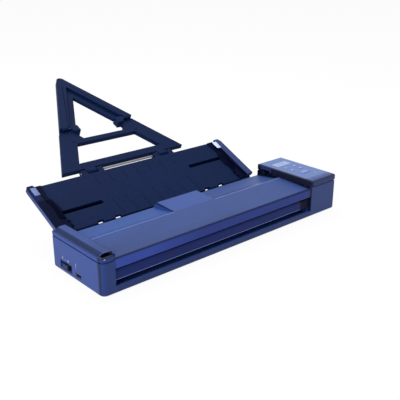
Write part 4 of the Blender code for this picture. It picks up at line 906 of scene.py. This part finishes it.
# Painted highlights along the crests of the ribs, where they would catch the light.
crest_highlight = (0.090, 0.120, 0.270)
crest_fade = 0.0002
crest_foot = 0.0008
crest_head = 0.0006
pad_rounding = 0.0002
pad_length = switch_high.y - switch_low.y
pad_height = switch_high.z - switch_low.z
crest_z = (crest_foot, pad_height - crest_head)
waves = []
for step in range(rib_count * wave_steps + 1):
    turn = 2 * math.pi * step / wave_steps
    dip = rib_depth * (1 + math.cos(turn)) / 2
    waves.append((switch_low.x + dip, switch_low.y + pad_length * step / (rib_count * wave_steps)))
crests = []
for crest in range(rib_count):
    crest_y = switch_low.y + pad_length * (crest + 0.5) / rib_count
    crests.append(strip(crest_highlight, 0.45, crest_fade, x=(-far, switch_low.x + crest_depth),
                        y=(crest_y - crest_half, crest_y + crest_half), z=crest_z))
pad_outline = waves + [(switch_high.x, switch_high.y), (switch_high.x, switch_low.y)]
pad_plane = plane((0, 0, switch_low.z), (1, 0, 0), (0, 1, 0))
pad_finish = moulded("switch_plastic", (0.004, 0.006, 0.024), 0.45, wear_and_highlight=0.3, dusty=0.0, specular=0.1,
                     strips=crests)
pad = raised("switch_pad", [pad_outline], pad_plane, 0.0, pad_height, pad_finish, "switch_knob",
             soft=pad_rounding)
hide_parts("power_switch")
print("ribs on the switch:", rib_count)

# %% The socket's tongue
tongue_half_width = 0.0026
tongue_half = 0.0004
tongue_depths = (0.0052, 0.0006)
socket_low, socket_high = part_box("usb_socket")
socket_y = (socket_low.y + socket_high.y) / 2
socket_z = (socket_low.z + socket_high.z) / 2
face_plane = plane((left, 0, 0), (0, -1, 0), (0, 0, 1))
tongue = rounded(-socket_y - tongue_half_width, -socket_y + tongue_half_width, socket_z - tongue_half,
                 socket_z + tongue_half, tongue_half / 2)
raised("socket_tongue", [tongue], face_plane, -tongue_depths[0], -tongue_depths[1], dark_finish, "root")
print("the socket's middle is at", round(socket_y, 4), round(socket_z, 4))

# %% The marks beside them
mark_rise = 0.0040
mark_size = 0.0019
mark_line = 0.0005
on_width = 0.0008
plug_width = 0.00065
plug_head = 0.0006
off_shares = (0.50, 0.18)
on_reach = 0.0050
off_reach = 0.0039
tick_reach = 0.0005
tick_width = 0.0008
plug_reach = 0.0034
mark_height = switch_high.z + mark_rise
mark_foot = mark_height - mark_size
switch_y = (switch_low.y + switch_high.y) / 2
on_x = -switch_y - on_reach
off_x = -switch_y + off_reach
tick_x = -switch_y - tick_reach
plug_x = -socket_y - plug_reach
marks = {
    "on_mark": [stroke((on_x, mark_height - mark_size / 2), (on_x, mark_height + mark_size / 2), on_width)],
    "between_mark": [stroke((tick_x, mark_height), (tick_x + tick_width, mark_height - mark_size / 3),
                            mark_line)],
    "plug_mark": [stroke((plug_x, mark_foot), (plug_x, mark_height + mark_size), plug_width),
                  around(plug_x, mark_foot, plug_head)],
}
for name, outlines in marks.items():
    raised(name, outlines, face_plane, 0.0, thin, ink_finish, "root")
off_outer, off_inner = [mark_size * share for share in off_shares]
off_profile = [(off_outer, 0.0), (off_outer, thin), (off_inner, thin), (off_inner, 0.0)]
turned("off_mark", off_profile, [(off_x, mark_height - mark_size / 4)], face_plane, ink_finish, "root")
print("marks:", len(marks) + 1)

# %% [markdown]
# ## Control panel
# A liquid-crystal display shows its digits as thin bars in a pale field. The bars here are the unlit ones, a
# little darker than the field, because the scanner is switched off. Each key carries one generic symbol, and
# every symbol rides on its own key.

# %% The display
bezel = 0.0006
digit_count = 3
digit_width = 0.0024
digit_height = 0.0045
digit_line = 0.0004
digit_pitch = 0.0042
digit_inset = 0.0035
window_low, window_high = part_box("display_window")
window_plane = plane((0, 0, window_high.z), (1, 0, 0), (0, 1, 0))
frame_left, frame_right = window_low.x - bezel, window_high.x + bezel
frame_bars = [
    rounded(frame_left, frame_right, window_low.y - bezel, window_low.y, bezel / 3),
    rounded(frame_left, frame_right, window_high.y, window_high.y + bezel, bezel / 3),
    rounded(frame_left, window_low.x, window_low.y, window_high.y, bezel / 3),
    rounded(window_high.x, frame_right, window_low.y, window_high.y, bezel / 3),
]
raised("display_frame", frame_bars, window_plane, 0.0, thin, key_finish, "root")
digit_foot = (window_low.y + window_high.y - digit_height) / 2
bars = []
for digit in range(digit_count):
    near = window_low.x + digit_inset + digit * digit_pitch
    away = near + digit_width
    for level in (0, 1, 2):
        y = digit_foot + level * digit_height / 2
        bars.append(stroke((near + digit_line, y), (away - digit_line, y), digit_line))
    for level in (0, 1):
        low_y = digit_foot + level * digit_height / 2 + digit_line
        high_y = low_y + digit_height / 2 - 2 * digit_line
        for x in (near, away):
            bars.append(stroke((x, low_y), (x, high_y), digit_line))
unlit_finish = moulded("unlit_segment", (0.150, 0.205, 0.400), 0.2, wear_and_highlight=0.0, dusty=0.0)
raised("display_digits", bars, window_plane, 0.0, thin / 2, unlit_finish, "root")
print("display bars:", len(bars))

# %% The keys' symbols


def key_plane(node):
    """The plane on top of a key, with its origin at the key's middle."""
    low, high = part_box(node)
    return plane(((low.x + high.x) / 2, (low.y + high.y) / 2, high.z), (1, 0, 0), (0, 1, 0))


symbol = 0.0011
line = 0.00035
gap = 0.00099
back_edge = 0.00077
rows = (-0.00077, 0.0, 0.00077)
stem = 0.00132
arrow = [(-symbol, 0.0), (back_edge, -symbol), (back_edge, symbol)]
symbols = {
    "mode": [stroke((-symbol, row), (symbol, row), line) for row in rows],
    "back": [arrow],
    "next": [[(-x, -y) for x, y in arrow]],
    "power": [stroke((0.0, 0.0), (0.0, stem), line)],
    "scan": [rounded(-3 * symbol, 3 * symbol, -line, line, line / 2),
             rounded(-2 * symbol, 2 * symbol, gap, gap + 2 * line, line / 2),
             rounded(-2 * symbol, 2 * symbol, -gap - 2 * line, -gap, line / 2)],
}
for name, outlines in symbols.items():
    raised(f"{name}_symbol", outlines, key_plane(f"{name}_button"), 0.0, thin, ink_finish, f"{name}_key")
ring = [(symbol, 0.0), (symbol, thin), (symbol - line, thin), (symbol - line, 0.0)]
turned("power_ring", ring, [(0.0, 0.0)], key_plane("power_button"), ink_finish, "power_key")
print("symbols on", len(symbols), "keys")

# %% [markdown]
# ## Tray, guides and support
# The tray and its parts lie on one sloping plane that starts at the back of the case. The pinion between the
# racks turns about that plane's normal, so the axis of its joint gives the slope. The tray's hinge joint
# gives the place: the plane passes a little above the hinge. Heights are measured from it, so what lies
# lower, such as the flanges, the panel and the frame, has a negative one.

# %% The tray's plane
hinge_along = 0.0045
hinge_drop = 0.0085
joints = {joint["name"]: joint for joint in frame["record"]["behaviour"]["joints"]}
steep = Vector(joints["pinion_turn"]["axis"]).normalized()
uphill = steep.cross(Vector((1, 0, 0)))
hinge = Vector(joints["tray_hinge"]["pos_m"])
tray_start = hinge - uphill * hinge_along + steep * hinge_drop
tray_plane = plane((0, tray_start.y, tray_start.z), (1, 0, 0), uphill)
print("the slope rises", round(math.degrees(math.asin(uphill.z)), 2), "degrees from", tray_start.to_tuple(4))

# %% [markdown]
# Each side guide carries a pressed label plate on its rail, two studs and a flat spring on its flange. The
# guides mirror each other, so one function for each kind of piece measures inwards from the outer wall.

# %% A guide's label
rail_top = 0.0005
label_width = 0.0056
label_length = 0.0105
label_along = 0.0542
label_corner = 0.0006
label_height = 0.00015
label_edge = 0.00005
label_insets = {"left": 0.0062, "right": 0.0100}


def guide_label(word, side, outer):
    """The plate on a guide's rail."""
    middle = outer - side * label_insets[word]
    plate = rounded(middle - label_width / 2, middle + label_width / 2, label_along,
                    label_along + label_length, label_corner)
    return raised(f"{word}_guide_label", [plate], tray_plane, rail_top, rail_top + label_height,
                  label_finishes[word], f"{word}_guide", soft=label_edge)


print("a label measures", label_width, "by", label_length)

# %% A guide's studs
flange_top = -0.0020
stud_radius = 0.0012
stud_height = 0.0009
stud_sink = 0.0002
stud_dome = 0.0001
stud_chamfer = 0.0003
stud_inset = 0.0178
stud_alongs = (0.0102, 0.0168)
stud_top = flange_top + stud_height
stud_profile = [(stud_radius, flange_top - stud_sink), (stud_radius, stud_top - stud_dome - stud_chamfer),
                (stud_radius - stud_chamfer, stud_top - stud_dome), (0.0, stud_top)]


def guide_studs(word, side, outer):
    """The studs on a guide's flange."""
    places = [(outer - side * stud_inset, along) for along in stud_alongs]
    return turned(f"{word}_guide_studs", stud_profile, places, tray_plane, dark_finish, f"{word}_guide")


print("studs on a guide:", len(stud_alongs))

# %% A guide's spring
spring_inset = 0.0170
spring_width = 0.0072
spring_length = 0.0280
spring_along = 0.0200
spring_height = 0.0005
spring_edge = 0.0002
spring_shares = ((0.0, 0.0), (0.6, 0.05), (1.0, 0.45), (0.80, 1.0), (0.15, 0.95), (0.0, 0.6))


def guide_spring(word, side, outer):
    """The flat spring on a guide's flange. Its outline runs the same way round on both sides."""
    outline = [(outer - side * (spring_inset - across * spring_width), spring_along + up * spring_length)
               for across, up in spring_shares]
    return raised(f"{word}_guide_spring", [outline[::side]], tray_plane, flange_top,
                  flange_top + spring_height, dark_finish, f"{word}_guide", soft=spring_edge)


print("a spring is", spring_length, "long")

# %% The pieces of both guides
for guide in (("left", -1, left_guide_low.x), ("right", 1, right_guide_high.x)):
    made = [guide_label(*guide), guide_studs(*guide), guide_spring(*guide)]
    print("on the", guide[0], "guide:", [piece.name for piece in made])

# %% [markdown]
# The panel is a wide thin moulding, so its mould has low ribs that keep it flat. The support's frame and
# loop carry a fine line along each leg and two small ejector marks.

# %% Ribs on the tray
panel_top = -0.0035
rib_columns = 7
rib_spacing = 0.016
rib_rows = ((0.0085, 0.0300), (0.0520, 0.0640))
rib_width = 0.0009
rib_height = 0.0003
feed_middle = (left_guide_low.x + right_guide_high.x) / 2
ribs = []
for column in range(rib_columns):
    x = feed_middle + (column - (rib_columns - 1) / 2) * rib_spacing
    ribs += [stroke((x, start), (x, end), rib_width) for start, end in rib_rows]
raised("tray_ribs", ribs, tray_plane, panel_top, panel_top + rib_height, support_finish, "tray")
print("ribs on the tray:", len(ribs))

# %% Marks and lines on the support
frame_top = -0.0043
eject_radius = 0.0016
eject_line = 0.0004
eject_spread = 0.0400
eject_along = 0.1180
line_low = (0.0335, 0.1420)
line_high = (0.0045, 0.2060)
line_width = 0.0005
eject_inner = eject_radius - eject_line
eject_profile = [(eject_radius, frame_top), (eject_radius, frame_top + thin), (eject_inner, frame_top + thin),
                 (eject_inner, frame_top)]
eject_places = [(feed_middle + side * eject_spread, eject_along) for side in (-1, 1)]
turned("eject_marks", eject_profile, eject_places, tray_plane, dark_finish, "middle")
leg_lines = [stroke((feed_middle + side * line_low[0], line_low[1]),
                    (feed_middle + side * line_high[0], line_high[1]), line_width) for side in (-1, 1)]
raised("loop_lines", leg_lines, tray_plane, 0.0, thin, dark_finish, "loop")
print("marks on the support:", len(eject_places), "and lines:", len(leg_lines))

# %% [markdown]
# ## Under the cover and below the case
# With the cover open the two guide plates show. Their low ribs leave less plastic to rub or cling against.
# Below the case are the screws, each with the cross recess that a driver needs. The solid is left whole, so a
# thin raised black cross stands for the recess, as its painted shade.

# %% Ribs on the two guide plates
guide_rib_pitch = 0.0225
guide_rib_width = 0.0012
guide_rib_height = 0.00025
lower_rib_length = 0.0075
lower_rib_inset = 0.0015
upper_rib_length = 0.0125
plate_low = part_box("cover_plate")[0]
idler_low, idler_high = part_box("feed_idler")
lower_plane = plane((0, 0, inner_high.z), (1, 0, 0), (0, 1, 0))
upper_plane = plane((0, 0, plate_low.z), (1, 0, 0), (0, -1, 0))
lower_end = inner_high.y - lower_rib_inset
lower_ribs, upper_ribs = [], []
x = inner_low.x + guide_rib_pitch / 2
while x < inner_high.x - guide_rib_pitch / 4:
    lower_ribs.append(stroke((x, lower_end - lower_rib_length), (x, lower_end), guide_rib_width))
    if not idler_low.x - guide_rib_width < x < idler_high.x + guide_rib_width:
        upper_ribs.append(stroke((x, -upper_rib_length), (x, 0.0), guide_rib_width))
    x += guide_rib_pitch
raised("lower_guide_ribs", lower_ribs, lower_plane, 0.0, guide_rib_height, case_finish, "root")
raised("upper_guide_ribs", upper_ribs, upper_plane, 0.0, guide_rib_height, guide_finish, "cover")
print("ribs:", len(lower_ribs), "below and", len(upper_ribs), "above")

# %% Cross recesses of the screws
# Each recess is a raised black cross: painted shade.
cross_reach = 0.0014
cross_width = 0.0006
cross_sink = 0.0002
screw_names = ("pod_screw_front", "pod_screw_rear")
bottom_plane = plane((0, 0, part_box(screw_names[0])[0].z), (1, 0, 0), (0, -1, 0))
crosses = []
for node in screw_names:
    low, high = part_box(node)
    x, y = (low.x + high.x) / 2, -(low.y + high.y) / 2
    crosses.append(stroke((x - cross_reach, y), (x + cross_reach, y), cross_width))
    crosses.append(stroke((x, y + cross_width / 2), (x, y + cross_reach), cross_width))
    crosses.append(stroke((x, y - cross_reach), (x, y - cross_width / 2), cross_width))
raised("screw_crosses", crosses, bottom_plane, -cross_sink, thin, dark_finish, "root")
print("screws with a cross recess:", len(screw_names))

# %% [markdown]
# ## Floor and light
# Product pictures are taken on a white sweep under large soft lamps. The floor here is a big pale plane.
# To the camera and to reflections it also glows a little, so that it reads as white without more light on
# the object, and it still takes the object's soft shadow.

# %% Rays that see the studio itself


def seen_directly(tree):
    """1 for rays from the camera or from a reflection or refraction, else 0."""
    path = place(tree, "ShaderNodeLightPath")
    seen = calculate(tree, "ADD", path.outputs["Is Camera Ray"], path.outputs["Is Glossy Ray"], clamp=True)
    return calculate(tree, "ADD", seen, path.outputs["Is Transmission Ray"], clamp=True)


def mix_shaders(tree, share, first, second, end):
    """Blends two shaders by a share and feeds the end node's surface."""
    mixed = place(tree, "ShaderNodeMixShader")
    tree.links.new(share, mixed.inputs["Fac"])
    tree.links.new(first.outputs[0], mixed.inputs[1])
    tree.links.new(second.outputs[0], mixed.inputs[2])
    tree.links.new(mixed.outputs[0], tree.nodes[end].inputs["Surface"])


print("helpers for the studio are ready")

# %% The floor
floor_reach = 6.0
floor_gap = 0.0002
floor_tone = (0.86, 0.86, 0.88, 1.0)
floor_glow = 0.93
floor_mesh = bpy.data.meshes.new("floor")
shape = bmesh.new()
bmesh.ops.create_grid(shape, x_segments=1, y_segments=1, size=floor_reach)
shape.to_mesh(floor_mesh)
shape.free()
floor = bpy.data.objects.new("floor", floor_mesh)
bpy.context.scene.collection.objects.link(floor)
floor.location.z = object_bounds()[0].z - floor_gap
sweep = bpy.data.materials.new("white_sweep")
sweep.use_nodes = True
tree = sweep.node_tree
tree.nodes.remove(tree.nodes["Principled BSDF"])
matt = place(tree, "ShaderNodeBsdfDiffuse")
matt.inputs["Color"].default_value = floor_tone
glow = place(tree, "ShaderNodeEmission")
share = calculate(tree, "MULTIPLY", seen_directly(tree), floor_glow)
mix_shaders(tree, share, matt, glow, "Material Output")
floor_mesh.materials.append(sweep)
print("floor at", round(floor.location.z, 4))

# %% The world
world_light = 0.55
world = bpy.data.worlds.new("studio")
world.use_nodes = True
bpy.context.scene.world = world
tree = world.node_tree
dim = tree.nodes["Background"]
dim.inputs["Color"].default_value = (1.0, 1.0, 1.0, 1.0)
dim.inputs["Strength"].default_value = world_light
bright = place(tree, "ShaderNodeBackground")
mix_shaders(tree, seen_directly(tree), dim, bright, "World Output")
print("world strength", world_light)

# %% The lamps


def soft_lamp(name, at, aim, size, power):
    """A square area lamp that looks at a point."""
    lamp = bpy.data.lights.new(name, "AREA")
    lamp.size = size
    lamp.energy = power
    obj = bpy.data.objects.new(name, lamp)
    bpy.context.scene.collection.objects.link(obj)
    obj.location = at
    obj.rotation_euler = (Vector(aim) - Vector(at)).to_track_quat("-Z", "Y").to_euler()
    return obj


lamps = [
    soft_lamp("left_lamp", at=(-1.2, -0.5, 0.7), aim=(0.0, 0.0, 0.03), size=0.9, power=14.0),
    soft_lamp("top_lamp", at=(0.1, 0.5, 1.3), aim=(0.0, 0.05, 0.03), size=1.0, power=12.0),
]
print("lamps:", [lamp.name for lamp in lamps])

# %% [markdown]
# ## Camera
# The place, turn and focal length come from fitting a pinhole camera to the corners of the case in the
# photograph. The lens is long enough that the near edges diverge only a little.

# %% The camera
camera_place = (-0.39166, -0.43252, 0.26376)
camera_fall = 21.39
camera_bearing = -41.45
focal_length = 58.93
sensor_width = 36.0
lens = bpy.data.cameras.new("camera")
lens.sensor_width = sensor_width
lens.lens = focal_length
camera = bpy.data.objects.new("camera", lens)
bpy.context.scene.collection.objects.link(camera)
camera.location = camera_place
camera.rotation_euler = (math.radians(90 - camera_fall), 0.0, math.radians(camera_bearing))
bpy.context.scene.camera = camera
bpy.context.scene.view_settings.view_transform = "Standard"
print("camera at", tuple(round(v, 3) for v in camera.location))
